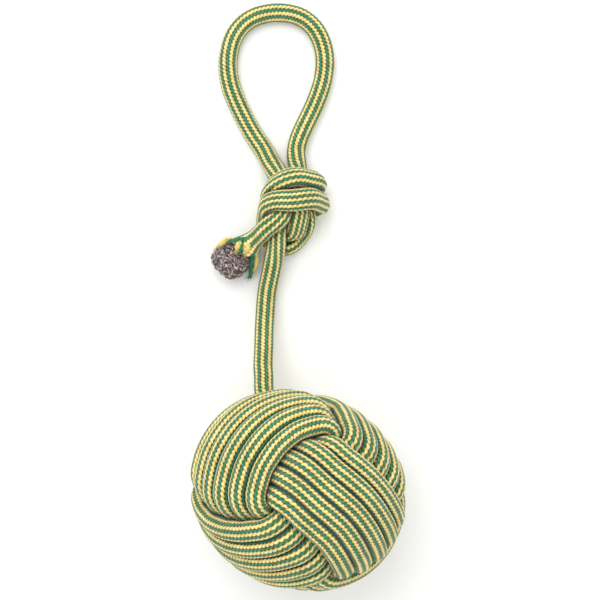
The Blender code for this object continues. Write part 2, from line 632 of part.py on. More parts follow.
def make_tail(ground, collection, cutters, materials):
    """Make the hollow end of the cover, the core with its tuft, and the frayed yarns."""
    axis = TAIL_AXIS.normalized()
    mouth = Vector(placed(TAIL_PLACE))
    start = mouth - axis * (TAIL_STRAIGHT - TOUCH_GAP / 2)
    shares = np.linspace(0.0, 1.0, 6)
    points = np.array([start + (mouth - start) * share for share in shares])
    radii = TAIL_ROPE / 2 + (TAIL_MOUTH - TAIL_ROPE) / 2 * ease(shares)
    cover = cord("tail_cover", points, radii, collection, materials["rope"], resolution=4)
    bore_ends = np.array([start - axis * MM, mouth + axis * MM])
    bore = cord("tail_bore", bore_ends, TAIL_ROPE / 2 - TAIL_WALL, collection, materials["rope"],
                resolution=4)
    cut(cover, cutter(bore, cutters))
    core = make_core_end(start, mouth, axis, collection, materials)
    cut(core, ground)
    make_yarns(mouth, axis, ground, collection, materials)


def tuft_radius(past_mouth):
    """Return the radius of the head of fibres at a distance past the mouth of the cover."""
    share = np.clip((past_mouth - TUFT_NECK) / (TUFT_LENGTH - TUFT_NECK), 0.0, 1.0)
    turn = np.arccos(1 - share * (1 - math.cos(TUFT_WRAP)))
    return np.maximum(CORE_SHANK, TUFT_DIAMETER / 2 * np.sin(turn) ** 0.7)


def make_core_end(start, mouth, axis, collection, materials):
    """Turn the core: a straight part inside the cover and a mushroom of spread fibres."""
    inside = (mouth - start).length
    profile = [(0.0, 0.0), (CORE_SHANK, 0.0), (CORE_SHANK, inside + TUFT_NECK)]
    for share in np.linspace(0.0, 1.0, 9)[1:]:
        past = TUFT_NECK + (TUFT_LENGTH - TUFT_NECK) * share**1.4
        profile.append((float(tuft_radius(past)), inside + past))
    profile.append((0.0, profile[-1][1]))
    mesh = bpy.data.meshes.new("tail_core")
    mesh.from_pydata([(x, 0.0, z) for x, z in profile], [(k, k + 1) for k in range(len(profile) - 1)], [])
    core = bpy.data.objects.new("tail_core", mesh)
    collection.objects.link(core)
    core.matrix_world = Matrix.Translation(start) @ axis.to_track_quat("Z", "Y").to_matrix().to_4x4()
    screw = core.modifiers.new("turned", "SCREW")
    screw.steps = screw.render_steps = 16
    screw.use_merge_vertices = True
    screw.merge_threshold = 0.01 * MM
    screw.use_normal_flip = True
    core.data.materials.append(materials["fibre"])
    return core


def make_yarns(mouth, axis, ground, collection, materials):
    """Make the frayed yarns that stand round the mouth of the cover and lie on the tuft."""
    side = axis.cross(Vector((0.0, 0.0, 1.0))).normalized()
    up = side.cross(axis).normalized()
    ring = TAIL_MOUTH / 2 - YARN_DIAMETER / 2 - 0.05 * MM
    for number, (angle, length, spread, colour) in enumerate(YARNS, start=1):
        out = side * math.cos(math.radians(angle)) + up * math.sin(math.radians(angle))
        points = []
        for share in np.linspace(0.0, 1.0, 8):
            past = TOUCH_GAP + 0.1 * MM + min(length * MM, TUFT_LENGTH * 0.55) * share
            clear = float(tuft_radius(past + 0.6 * MM)) + YARN_DIAMETER / 2 + 2 * TOUCH_GAP
            curl = max(0.0, length * MM - TUFT_LENGTH * 0.55) * share**2
            radius = max(ring, clear) + spread * MM * share**2 + 0.6 * curl
            points.append(mouth + axis * past + out * radius)
        radii = YARN_DIAMETER / 2 * (1 - 0.25 * np.linspace(0.0, 1.0, 8) ** 3)
        yarn = cord(f"frayed_yarn_{number}", np.array(points), radii, collection, materials[colour],
                    resolution=1)
        cut(yarn, ground)


def seat_on_origin(collection, cutters):
    """Move everything so that the origin is on the largest flat spot under the fist."""
    depsgraph = bpy.context.evaluated_depsgraph_get()
    flats = []
    for name in ("first_turns", "second_turns", "third_turns"):
        mesh = collection.objects[name].evaluated_get(depsgraph).to_mesh()
        mesh.calc_loop_triangles()
        for triangle in mesh.loop_triangles:
            corners = [mesh.vertices[k].co for k in triangle.vertices]
            if max(abs(corner.z) for corner in corners) < 0.001 * MM:
                flats.append((triangle.area, sum(corners, Vector()) / 3))
    area, spot = max(flats, key=lambda flat: flat[0])
    for obj in list(collection.objects) + list(cutters.objects):
        if obj.parent is None:
            obj.location.x -= spot.x
            obj.location.y -= spot.y
    print("fist centre, mm:", [round(-v / MM, 3) for v in spot[:2]])
    bends = placed(BENDS) - np.array([spot.x, spot.y, 0.0])
    print("bending places, mm:", np.round(bends / MM, 3).tolist())


def main():
    """Build the whole piece."""
    clear_scene()
    parts = make_collection("rope_ball_with_hand_loop")
    cutters = make_collection("cutters")
    materials = {name: make_material(name) for name in COLOURS}
    ground = ground_cutter(cutters)
    fist_line, cuts = wind_fist()
    knot_lines = tie_knot()
    make_core_ball(parts, materials)
    make_fist(fist_line, cuts, ground, parts, materials)
    make_stem(ground, parts, cutters, materials)
    make_knot(knot_lines, ground, parts, cutters, materials)
    make_tail(ground, parts, cutters, materials)
    seat_on_origin(parts, cutters)


main()
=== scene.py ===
"""Rope ball with a hand loop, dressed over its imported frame.

One knitted-cover rope is wound as a monkey's fist, leaves it as a bending stem, is tied into
an overhand loop knot and ends cut, with its fibre core spread and its cover frayed. The
rope's line is found here as it is for the frame, and its knitted cover is then laid round it
stitch by stitch. All lengths are in metres, +Z is up and +Y runs from the fist to the loop.
"""

import logging
import math
from dataclasses import dataclass, field
from enum import Enum

import bpy
import numpy as np
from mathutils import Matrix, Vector, noise


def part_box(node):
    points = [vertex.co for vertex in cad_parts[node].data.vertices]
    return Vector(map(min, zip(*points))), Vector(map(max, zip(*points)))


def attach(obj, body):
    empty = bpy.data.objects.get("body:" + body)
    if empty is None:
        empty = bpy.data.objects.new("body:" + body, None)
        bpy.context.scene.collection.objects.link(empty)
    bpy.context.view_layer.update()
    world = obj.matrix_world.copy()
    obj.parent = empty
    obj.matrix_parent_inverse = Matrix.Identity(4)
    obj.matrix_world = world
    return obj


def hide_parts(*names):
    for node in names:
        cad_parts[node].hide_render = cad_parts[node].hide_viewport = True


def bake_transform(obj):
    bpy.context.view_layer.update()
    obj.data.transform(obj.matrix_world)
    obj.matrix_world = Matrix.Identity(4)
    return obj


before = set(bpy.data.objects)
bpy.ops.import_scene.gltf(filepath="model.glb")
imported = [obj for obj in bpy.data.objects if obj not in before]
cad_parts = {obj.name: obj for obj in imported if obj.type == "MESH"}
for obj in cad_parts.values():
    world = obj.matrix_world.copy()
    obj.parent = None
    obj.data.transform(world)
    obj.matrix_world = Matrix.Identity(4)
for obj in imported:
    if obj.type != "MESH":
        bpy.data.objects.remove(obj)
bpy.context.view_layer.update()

LOG = logging.getLogger("rope_ball")
MM = 0.001
TAU = 2 * math.pi
FLOOR_GAP = 0.03 * MM     # what lies on the floor keeps this far off it, so that the two don't flicker

Points = np.ndarray
Colour = tuple[float, float, float, float]
Sockets = dict[str, bpy.types.NodeSocket]


class Slot(Enum):
    """Material slots of the pieces that are drawn here."""

    COVER = "rope_cover"
    YELLOW_YARN = "yarn_yellow"
    GREEN_YARN = "yarn_green"
    FIBRE = "core_fibre"


class Dye(Enum):
    """Dyes of the cover's yarns, each with its lit, middle and creased colour: the lit one is painted light
    and the creased one painted shade.
    """

    # each: lit colour as painted light, middle colour, creased colour as painted shade
    YELLOW = ("#E8E0A0", "#DEC570", "#62471A")
    GREEN = ("#488C6C", "#2F7552", "#0C2A0C")

    def stops(self, crease_shade: float, middle: float) -> tuple:
        """Return the stops of a ramp from its painted-shade creased colour to its painted-light lit one."""
        return ((crease_shade, self.value[2]), (1.0, self.value[0]), (middle, self.value[1]))


# Colours, nodes and objects

def paint(code: str) -> Colour:
    """Turn an sRGB hex colour into a linear one.

    Args:
        code: The colour, such as "#F8E79A".

    Returns:
        The linear red, green, blue and alpha.
    """
    channels = [int(code[k:k + 2], 16) / 255 for k in (1, 3, 5)]
    linear = [c / 12.92 if c <= 0.04045 else ((c + 0.055) / 1.055) ** 2.4 for c in channels]
    return (*linear, 1.0)


def feed(tree: bpy.types.NodeTree, node: bpy.types.Node, inputs: dict) -> None:
    """Set sockets of a node.

    Args:
        tree: The tree that the node is in.
        node: The node.
        inputs: Values of its sockets by name or place, or the sockets that feed them.
    """
    for socket, value in inputs.items():
        if isinstance(value, bpy.types.NodeSocket):
            tree.links.new(value, node.inputs[socket])
        else:
            node.inputs[socket].default_value = value


def add_node(tree: bpy.types.NodeTree, kind: str, settings: dict | None = None,
             inputs: dict | None = None) -> bpy.types.Node:
    """Add a node with its settings and links.

    Args:
        tree: The tree that gets the node.
        kind: The node's type name.
        settings: Values of the node's own properties.
        inputs: What its sockets get, as for feed.

    Returns:
        The new node.
    """
    node = tree.nodes.new(kind)
    for name, value in (settings or {}).items():
        setattr(node, name, value)
    feed(tree, node, inputs or {})
    return node


def add_chain(tree: bpy.types.NodeTree, made: Sockets, kind: str, setting: str, steps: tuple) -> None:
    """Add nodes of one type that feed one another.

    Args:
        tree: The tree that gets the nodes.
        made: Sockets by name, to which the nodes' outputs are added.
        kind: The nodes' type name.
        setting: The property that tells them apart.
        steps: For each node its name, the value of that property and its inputs in order,
            where a name stands for the socket of that name.
    """
    for name, value, *inputs in steps:
        sockets = {place: made.get(item, item) for place, item in enumerate(inputs)}
        made[name] = add_node(tree, kind, {setting: value}, sockets).outputs[0]


def fill_ramp(ramp: bpy.types.Node, stops: tuple) -> bpy.types.NodeSocket:
    """Give a new colour ramp its stops.

    Args:
        ramp: The ramp.
        stops: The place and the sRGB hex colour of each stop, its two ends first.

    Returns:
        The ramp's colour.
    """
    for element, (place, code) in zip(ramp.color_ramp.elements, stops):
        element.position = place
        element.color = paint(code)
    for place, code in stops[2:]:
        ramp.color_ramp.elements.new(place).color = paint(code)
    return ramp.outputs[0]


def new_material(name: str) -> tuple[bpy.types.Material, bpy.types.Node]:
    """Make a material.

    Args:
        name: Its name.

    Returns:
        The material and its main shader.
    """
    material = bpy.data.materials.new(name)
    material.use_nodes = True
    return material, material.node_tree.nodes["Principled BSDF"]


def new_object(data: bpy.types.ID) -> bpy.types.Object:
    """Put an object into the scene.

    Args:
        data: Its mesh, light or camera, which it is named after.

    Returns:
        The object.
    """
    thing = bpy.data.objects.new(data.name, data)
    bpy.context.scene.collection.objects.link(thing)
    return thing


def dress(piece: bpy.types.Object, finish: bpy.types.Material, slot: Slot, *nodes: str) -> None:
    """Dress a piece and hide the nodes of the frame that it replaces.

    Args:
        piece: The piece.
        finish: Its material.
        slot: Its material slot; not used.
        nodes: The nodes of the frame that it replaces.
    """
    piece.data.materials.append(finish)
    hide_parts(*nodes)
    LOG.info("%s: %d faces", piece.name, len(piece.data.polygons))


# Lines

def unit(vectors: Points) -> Points:
    """Return vectors brought to length 1."""
    return vectors / np.linalg.norm(vectors, axis=-1, keepdims=True)


def directions(angle: Points, up: Points, side: Points) -> Points:
    """Return the directions at angles round a line, from its upper side towards the other."""
    return np.cos(angle)[..., None] * up[:, None] + np.sin(angle)[..., None] * side[:, None]


def nearest(points: Points, spot: Points) -> int:
    """Return the index of the point that is nearest to a spot."""
    return int(np.argmin(np.linalg.norm(points - spot, axis=1)))

def ease(x: Points) -> Points:
    """Return the smooth step from 0 to 1 of a value."""
    x = np.clip(x, 0.0, 1.0)
    return x * x * (3 - 2 * x)


def arc_length(points: Points) -> Points:
    """Return how far along a line each of its points is."""
    return np.concatenate([[0.0], np.cumsum(np.linalg.norm(np.diff(points, axis=0), axis=1))])


def read_line(points: Points, travel: Points, at: Points) -> Points:
    """Return a line's points or directions at the given distances along it."""
    return np.stack([np.interp(at, travel, points[:, k]) for k in range(points.shape[1])], axis=1)


def evenly(points: Points, step: float) -> Points:
    """Divide a line into equal steps.

    Args:
        points: The line.
        step: About how long a step is.

    Returns:
        The new points.
    """
    travel = arc_length(points)
    count = max(2, int(round(travel[-1] / step)) + 1)
    return read_line(points, travel, np.linspace(0.0, travel[-1], count))


def hermite(a: Points, b: Points, leave: Points, arrive: Points, t: Points) -> Points:
    """Return points of the cubic from a to b with the given end directions."""
    return ((2 * t**3 - 3 * t**2 + 1) * a + (t**3 - 2 * t**2 + t) * leave
            + (-2 * t**3 + 3 * t**2) * b + (t**3 - t**2) * arrive)


def smooth_curve(route: Points, step: float, between: int = 40) -> Points:
    """Lay a smooth curve through a route.

    Args:
        route: The points that it passes.
        step: Distance between the points of the result.
        between: How many places are worked out from each route point to the next.

    Returns:
        The points of the curve, one step apart.
    """
    knots = np.asarray(route, float)
    knots = np.vstack([2 * knots[0] - knots[1], knots, 2 * knots[-1] - knots[-2]])
    t = np.linspace(0.0, 1.0, between, endpoint=False)[:, None]
    pieces = [hermite(a, b, (b - before) / 2, (after - a) / 2, t)
              for before, a, b, after in zip(knots[:-3], knots[1:-2], knots[2:-1], knots[3:])]
    return evenly(np.vstack(pieces + [knots[-2][None]]), step)


def join_strands(first: Points, second: Points, count: int = 14) -> Points:
    """Lead the end of one strand smoothly to the start of the next.

    Args:
        first: The strand that ends.
        second: The strand that starts.
        count: How many points there are between them.

    Returns:
        Those points.
    """
    reach = np.linalg.norm(second[0] - first[-1])
    leave = first[-1] - first[-3]
    arrive = second[2] - second[0]
    leave = leave / np.linalg.norm(leave) * reach
    arrive = arrive / np.linalg.norm(arrive) * reach
    t = np.linspace(0.0, 1.0, count + 2)[1:-1, None]
    return hermite(first[-1], second[0], leave, arrive, t)


def near_pairs(points: Points, strand: Points, reach: float, skip: int) -> tuple[Points, Points]:
    """Find points that lie close together.

    Args:
        points: All points.
        strand: The number of the strand that each is on.
        reach: How close counts as close.
        skip: Points of one strand that are fewer steps apart are left out.

    Returns:
        The two index arrays of the pairs.
    """
    square = np.sum(points**2, axis=1)
    apart = square[:, None] + square[None, :] - 2 * points @ points.T
    first, second = np.where(np.triu(apart < reach * reach, 1))
    real = (strand[first] != strand[second]) | (second - first >= skip)
    return first[real], second[real]


@dataclass
class Settling:
    """Pushes strands apart until their centre lines keep a spacing, as pulled-tight rope does."""

    spacing: float
    rounds: int
    skip: int
    slack: float
    final_rounds: int
    keep_shape: bool
    core: float | None = None
    shell: float | None = None
    ground: float | None = None
    final_slack: float = 0.05
    refresh: int = 15       # rounds from one search for near points to the next
    look: float = 1.4       # how far that search reaches, in spacings
    pace: float = 0.6       # share of a push that one round makes
    unpress: Points = field(default_factory=lambda: np.eye(3))
    walls: tuple = ()       # planes that press from outside: normal, distance, least and greatest Y

    def run(self, routes: list[Points], held: list[Points]) -> list[Points]:
        """Settle the strands.

        Args:
            routes: Each strand's points.
            held: For each strand, which points stay where they are.

        Returns:
            Each strand's settled points.
        """
        counts = [len(route) for route in routes]
        own = np.concatenate([np.full(count, k) for k, count in enumerate(counts)])
        points = np.vstack(routes).astype(float)
        hold = np.concatenate(held)
        base = points.copy() if self.keep_shape else np.zeros_like(points)
        inside = np.zeros(len(points), bool)
        inside[1:-1] = (own[1:-1] == own[:-2]) & (own[1:-1] == own[2:])
        inside &= ~hold
        for turn in range(self.rounds + self.final_rounds):
            share = self.slack if turn < self.rounds else self.final_slack
            if turn % self.refresh == 0:
                first, second = near_pairs(points, own, self.spacing * self.look, self.skip)
            apart = points[first] - points[second]
            distance = np.linalg.norm(apart, axis=1)
            lack = np.clip(self.spacing - distance, 0.0, None)
            push = apart / np.maximum(distance, 1e-9)[:, None] * (0.5 * lack)[:, None]
            move = np.zeros_like(points)
            count = np.zeros(len(points))
            for index, sign in ((first, 1.0), (second, -1.0)):
                np.add.at(move, index, sign * push)
                np.add.at(count, index, lack > 0)
            move /= np.sqrt(np.maximum(count, 1.0))[:, None]
            move[hold] = 0.0
            away = points + self.pace * move - base
            mean = away.copy()
            mean[1:-1] = 0.25 * away[:-2] + 0.5 * away[1:-1] + 0.25 * away[2:]
            away[inside] = (1 - share) * away[inside] + share * mean[inside]
            points = base + away
            if self.core is not None:
                radius = np.linalg.norm(points @ self.unpress, axis=1)
                low, high = (radius < self.core) & ~hold, (radius > self.shell) & ~hold
                points[low] *= (self.core / radius[low])[:, None]
                points[high] *= (0.5 + 0.5 * self.shell / radius[high])[:, None]
            if self.ground is not None:
                points[~hold, 2] = np.maximum(points[~hold, 2], self.ground)
            for normal, limit, low_end, high_end in self.walls:
                free = hold | (points[:, 1] < low_end) | (points[:, 1] > high_end)
                beyond = np.where(free, 0.0, np.maximum(points @ normal - limit, 0.0))
                points -= 0.5 * beyond[:, None] * normal
        return np.split(points, np.cumsum(counts)[:-1])


@dataclass(frozen=True)
class RopeSizes:
    """Sizes that the whole tie follows from, the same as the frame's."""

    ball: float = 110 * MM
    rope: float = 10.2 * MM
    loop: float = 76.4 * MM
    flat_share: float = 0.1             # of the rope's thickness, which a flat spot takes off
    solid_sag: float = 0.7 * MM
    fist_shape: tuple = ((1.03, -0.052, 0.0), (-0.052, 0.943, 0.0), (0.0, 0.0, 1.0))
    fist_rope: float = 0.87 * rope      # its thickness where its neighbours squeeze it in the fist
    knot_rope: float = 0.80 * rope
    spacing: float = 0.98 * rope        # least distance wanted between centre lines
    knot_spacing: float = 0.86 * rope
    outer: float = (ball - 0.94 * rope) / 2      # from the fist's centre to the outer turns' line
    inner: float = outer - rope
    core_reach: float = inner - 0.08 * rope      # nearest that the line comes to that centre
    fist_height: float = outer + fist_rope * (0.5 - flat_share) - solid_sag
    knot_rest: float = knot_rope * (0.5 - flat_share)      # height of the line on the ground


@dataclass
class TurnSet:
    """One set of turns: rings stacked along an axis, outside on two faces and inside on two."""

    sizes: RopeSizes
    stack: Points
    over: Points
    under: Points
    turns: float
    pitch: float
    start: float
    climb: tuple = (-0.3, 1.37)     # where the line rises past the covering set's edge, in rope widths

    def offset(self, angle: Points) -> Points:
        """Return how far along the stack a strand is at an angle."""
        return -self.pitch * self.turns / 2 + self.pitch * (angle - self.start) / TAU

    def edges(self, face: float) -> tuple[float, float]:
        """Find the outermost strands that cross a face.

        Args:
            face: The face's angle.

        Returns:
            Their lowest and highest offset.
        """
        angles = face + TAU * np.arange(-1, 9)
        crossing = angles[(angles >= self.start) & (angles <= self.start + self.turns * TAU)]
        offsets = self.offset(crossing)
        return offsets.min(), offsets.max()

    def path(self, cover: "TurnSet", steps: int = 96) -> Points:
        """Wind the set.

        Args:
            cover: The set that lies over this one on the under faces.
            steps: Points in each turn.

        Returns:
            The centre line, about the fist's centre.
        """
        angle = self.start + np.linspace(0.0, self.turns * TAU, int(round(self.turns * steps)) + 1)
        offset = self.offset(angle)
        cosine, sine = np.cos(angle), np.sin(angle)
        same_face = cover.over @ self.under > 0
        side = np.sign(cover.stack @ self.over)
        near = cover.edges(0.0 if same_face else math.pi)
        far = cover.edges(math.pi if same_face else 0.0)
        ring = np.sqrt(np.clip(self.sizes.outer**2 - offset**2, MM**2, None))
        reach = cosine * ring * side
        edge = np.where(sine >= 0, np.where(reach >= 0, near[1], -near[0]),
                        np.where(reach >= 0, far[1], -far[0]))
        low, high = (share * self.sizes.rope for share in self.climb)
        rise = ease((np.abs(reach) - edge - low) / (high - low))
        height = self.sizes.inner + self.sizes.rope * rise
        ring = np.sqrt(np.maximum(height**2 - offset**2, MM**2))
        around = cosine[:, None] * self.over + sine[:, None] * self.under
        return offset[:, None] * self.stack + ring[:, None] * around


@dataclass
class RopeLayout:
    """The one rope's centre line, from its cut end through knot, loop and stem to the last turn.

    Points are counted from the point on the ground under the fist's centre until place() moves
    them onto the frame.
    """

    sizes: RopeSizes = field(default_factory=RopeSizes)
    face_left: tuple = (-0.567, 0.668, 0.481)
    face_right: tuple = (0.583, -0.086, 0.808)
    exit: tuple = (-0.339, 0.892, -0.412)
    stack_shares: tuple = (0.545, 0.455, 0.455)     # of the ball's width, which each set's turns take
    turns_less: tuple = (0.08, 0.0, 0.02)           # what each set lacks of whole turns
    pitches: tuple = (0.97, -1.07, 1.07)            # from turn to turn, in rope widths
    starts: tuple = (75, -90, -90)                  # where each set starts, in degrees
    tail_axis: tuple = (-0.70, -0.58, -0.35)
    tail_straight: float = 9 * MM
    line_step: float = 3 * MM
    knot_step: float = 2.5 * MM
    bends: tuple = ((-17.9, 11.8, 23.4), (-17.4, 32.8, 12.6), (-16.1, 52.8, 6))
    stem_between: tuple = ((-17.6, 22.8, 17.6), (-16.9, 42.8, 8.6))
    tail_place: tuple = (-28.9, 75.7, 12)
    knot_middle: tuple = (-3.0, 95.0, 13.0)
    corner: tuple = (0.57, -0.57, 0.60)     # shares of the faces' axes where the stem enters the fist
    # planes that pull the knot tight at its lower right and left: normal, a point, least and greatest Y
    walls: tuple = (((0.75, -0.66, 0.0), (1.3, 83.4, 0.0), (0, 74, 0), (0, 104, 0)),
                    ((-0.978, 0.207, 0.0), (-17.4, 89.5, 0.0), (0, 84, 0), (0, 106, 0)))
    tail_strand: tuple = (
        (-16.8, 128.0, 4.2), (-13.4, 121.1, 7.5), (-8.4, 112.7, 13.5), (-4.1, 103.0, 16),
        (-1, 95.4, 17), (-1.8, 89.2, 13), (-5, 85.4, 7.5), (-9, 84.6, 4.3),
        (-12.2, 86.6, 4.2), (-14, 90.6, 4.5), (-14.8, 95.3, 8), (-14.8, 100.5, 15),
        (-12.6, 105.6, 21), (-7.8, 109.6, 23.5), (-0.9, 112.3, 24), (5, 113.0, 22),
        (9.4, 111.8, 16), (9.2, 110.2, 8), (5.5, 107.6, 4.2), (0.2, 104.2, 4.2),
        (-5.2, 99.2, 6), (-9.4, 94.0, 13), (-14.6, 88.0, 17.5))
    stem_strand: tuple = (
        (-0.4, 128.0, 4.2), (0.2, 121.1, 8), (1.8, 112.8, 14.5), (4.8, 103.0, 15.5),
        (6.8, 94.4, 14), (4.8, 88.0, 9.5), (1.0, 82.8, 5.5), (-4, 78.4, 4.2),
        (-9, 76.6, 4.2), (-13.2, 78.2, 4.2), (-16, 83.2, 4.2), (-17.6, 88.4, 7),
        (-16.8, 92.0, 14), (-14.4, 96.3, 21), (-9.4, 99.2, 24), (-2.2, 101.0, 25),
        (5, 101.4, 24), (10.8, 101.2, 19), (13, 100.2, 12), (11, 98.4, 5.5),
        (6.2, 96.6, 4.2), (1.0, 94.2, 4.2), (-3.8, 90.0, 6.5), (-7.2, 83.4, 11.8),
        (-10.2, 76.6, 12.4), (-12.5, 69.9, 9.4), (-14.5, 61.8, 6.9), (-16.1, 52.8, 6))
    loop_route: tuple = (
        (-16.8, 128.0, 4.2), (-21, 134.4, 4.1), (-25.6, 141.7, 4.1), (-32.6, 155.8, 4.1),
        (-36.6, 167.8, 4.1), (-37.2, 180.3, 4.1), (-33.4, 192.8, 4.1), (-24.4, 201.4, 4.1),
        (-10.8, 204.4, 4.1), (2.2, 202.0, 4.1), (11, 194.0, 4.1), (15.2, 181.8, 4.1),
        (14.6, 168.8, 4.1), (10.4, 155.8, 4.1), (3.6, 141.3, 4.1), (0.8, 134.4, 4.1),
        (-0.4, 128.0, 4.2))
    points: Points = field(init=False)
    travel: Points = field(init=False)
    centre: Points = field(init=False)
    knot_centre: Points = field(init=False)
    marks: dict[str, float] = field(init=False)

    def placed(self, route: tuple) -> Points:
        """Return a route's points in metres."""
        return np.array(route, float) * MM + np.array([-MM, self.sizes.outer - 0.5 * MM, 0.0])

    def wind_fist(self) -> tuple[Points, list[int]]:
        """Wind and settle the fist.

        Returns:
            The settled centre line about the fist's centre, and the indexes where the stem
            ends and where one set of turns passes into the next.
        """
        sizes = self.sizes
        left = np.array(self.face_left) / np.linalg.norm(self.face_left)
        right = np.array(self.face_right)
        right = right - left * (left @ right)
        right /= np.linalg.norm(right)
        top = np.cross(left, right)
        axes = ((right, left, top), (top, -right, left), (left, top, right))
        sets = [TurnSet(sizes, *axes[k], round(self.stack_shares[k] * sizes.ball / sizes.spacing)
                        - self.turns_less[k], self.pitches[k] * sizes.rope, math.radians(self.starts[k]))
                for k in range(3)]
        first, second, third = (sets[k].path(sets[k - 1]) for k in range(3))

        step = 0.324 * sizes.rope
        lift = np.array([0.0, 0.0, sizes.fist_height])
        exit_line = evenly(np.array([self.placed(self.bends[0]) - lift,
                                     np.array(self.exit) * sizes.outer]), 6 * MM)
        corner = left * self.corner[0] + right * self.corner[1] + top * self.corner[2]
        corner = corner * (sizes.inner + 0.5 * MM)
        lead = smooth_curve(np.vstack([exit_line, corner[None], first[4][None]]), 2 * MM)[:-1]
        stretches = [np.vstack([lead, first[4:]]), join_strands(first, second), second,
                     join_strands(second, third), third]
        line = evenly(np.vstack(stretches), step)
        lengths = [arc_length(part)[-1] for part in stretches]
        gaps = [np.linalg.norm(b[0] - a[-1]) for a, b in zip(stretches[:-1], stretches[1:])]
        places = (arc_length(lead)[-1], lengths[0] + gaps[0] + lengths[1] / 2,
                  sum(lengths[:3]) + sum(gaps[:3]) + lengths[3] / 2)
        held = np.zeros(len(line), bool)
        held[:4] = True
        settling = Settling(sizes.spacing, rounds=400, skip=9, slack=0.45, final_rounds=600,
                            keep_shape=True, core=sizes.core_reach, shell=sizes.outer)
        line = self.pressed(settling.run([line], [held])[0])
        settling.rounds, settling.final_rounds = 0, 300
        settling.unpress = np.linalg.inv(np.array(sizes.fist_shape))
        held = np.linalg.norm(line @ settling.unpress, axis=1) > sizes.outer + 0.5 * MM
        held[:4] = True
        return settling.run([line], [held])[0], [int(round(at / step)) for at in places]

    def pressed(self, points: Points) -> Points:
        """Press the fist out of round.

        Args:
            points: Points about its centre.

        Returns:
            The points, moved the less the further outside the fist they are.
        """
        beyond = (np.linalg.norm(points, axis=1) - self.sizes.outer) / (1.5 * self.sizes.rope)
        shaped = points @ np.array(self.sizes.fist_shape)
        return points + (shaped - points) * (1 - ease(beyond))[:, None]

    def tie_knot(self) -> Points:
        """Tie and settle the loop knot.

        Returns:
            The centre line from the mouth of the cut end through the knot, the hand loop and
            the knot again to the last bending place of the stem.
        """
        axis = np.array(self.tail_axis) / np.linalg.norm(self.tail_axis)
        mouth = self.placed(self.tail_place)
        straight = [mouth - axis * (self.tail_straight + reach * MM) for reach in (6, 3, 0)] + [mouth]
        tail_route = np.vstack([self.placed(self.tail_strand), straight])
        stem_route = self.placed(self.stem_strand)
        loop_route = self.placed(self.loop_route)
        along = loop_route[:, 1] - loop_route[0, 1]
        loop_route[:, 1] = loop_route[0, 1] + along * self.sizes.loop / along.max()
        chain = smooth_curve(np.vstack([tail_route[::-1], loop_route[1:-1], stem_route]), MM)
        ends = [nearest(chain, route[0]) for route in (tail_route, stem_route)]
        tail_line = evenly(chain[:ends[0] + 1][::-1], self.line_step)
        loop_line = evenly(chain[ends[0]:ends[1] + 1], self.line_step)
        stem_line = evenly(chain[ends[1]:], self.line_step)
        strands = [tail_line, stem_line]
        walls = tuple((np.array(normal), self.placed(spot) @ np.array(normal), self.placed(low)[1],
                       self.placed(high)[1]) for normal, spot, low, high in self.walls)
        settling = Settling(self.sizes.knot_spacing, rounds=500, skip=5, slack=0.12, final_rounds=250,
                            keep_shape=False, ground=self.sizes.knot_rest, walls=walls)
        strands = settling.run(strands, self.held_ends(strands))
        strands = [evenly(line, self.knot_step) for line in strands]
        settling.rounds, settling.final_rounds, settling.keep_shape = 0, 400, True
        tail_line, stem_line = settling.run(strands, self.held_ends(strands))
        return np.vstack([tail_line[::-1], loop_line[1:-1], stem_line])

    def held_ends(self, strands: list[Points]) -> list[Points]:
        """Find the points of the knot's two strands that stay in place, at both their ends.

        Args:
            strands: The two strands' points.

        Returns:
            True for those points, strand by strand.
        """
        held = []
        for line, straight_end in zip(strands, (self.tail_straight + 5 * MM, 4 * MM)):
            hold = np.linalg.norm(line - line[-1], axis=1) < straight_end
            hold[:2] = True
            held.append(hold)
        return held

    def place(self) -> None:
        """Lay the whole rope, move it onto the frame and mark its places."""
        low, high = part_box("core_ball")
        self.centre = (np.array(low) + np.array(high)) / 2
        shift = np.array([self.centre[0], self.centre[1], 0.0])
        fist_line, cuts = self.wind_fist()
        fist_line = fist_line + np.array([0.0, 0.0, self.sizes.fist_height])
        knot_line = self.tie_knot()
        bends = self.placed(self.bends)
        between = self.placed(self.stem_between)
        stem_knots = np.array([bends[2], between[1], bends[1], between[0], bends[0]])
        stem_line = smooth_curve(np.vstack([knot_line[-4:-1:3], stem_knots, fist_line[3:4]]), MM)
        stem_line = stem_line[nearest(stem_line, bends[2]):nearest(stem_line, bends[0]) + 1]
        stem_line = evenly(stem_line, self.line_step)
        whole = evenly(np.vstack([knot_line, stem_line[1:-1], fist_line]), self.line_step)
        whole[1:-1] = 0.2 * whole[:-2] + 0.6 * whole[1:-1] + 0.2 * whole[2:]
        self.points = smooth_curve(whole + shift, 0.5 * MM, between=8)
        self.knot_centre = self.placed(self.knot_middle) + shift
        self.travel = arc_length(self.points)
        named = zip(("bend_fist", "bend_lift", "bend_knot", "fist_start", "second_start", "third_start"),
                    (*bends, *fist_line[cuts]))
        self.marks = {name: self.travel[nearest(self.points - shift, spot)] for name, spot in named}
        self.marks["end"] = self.travel[-1]


# Cover

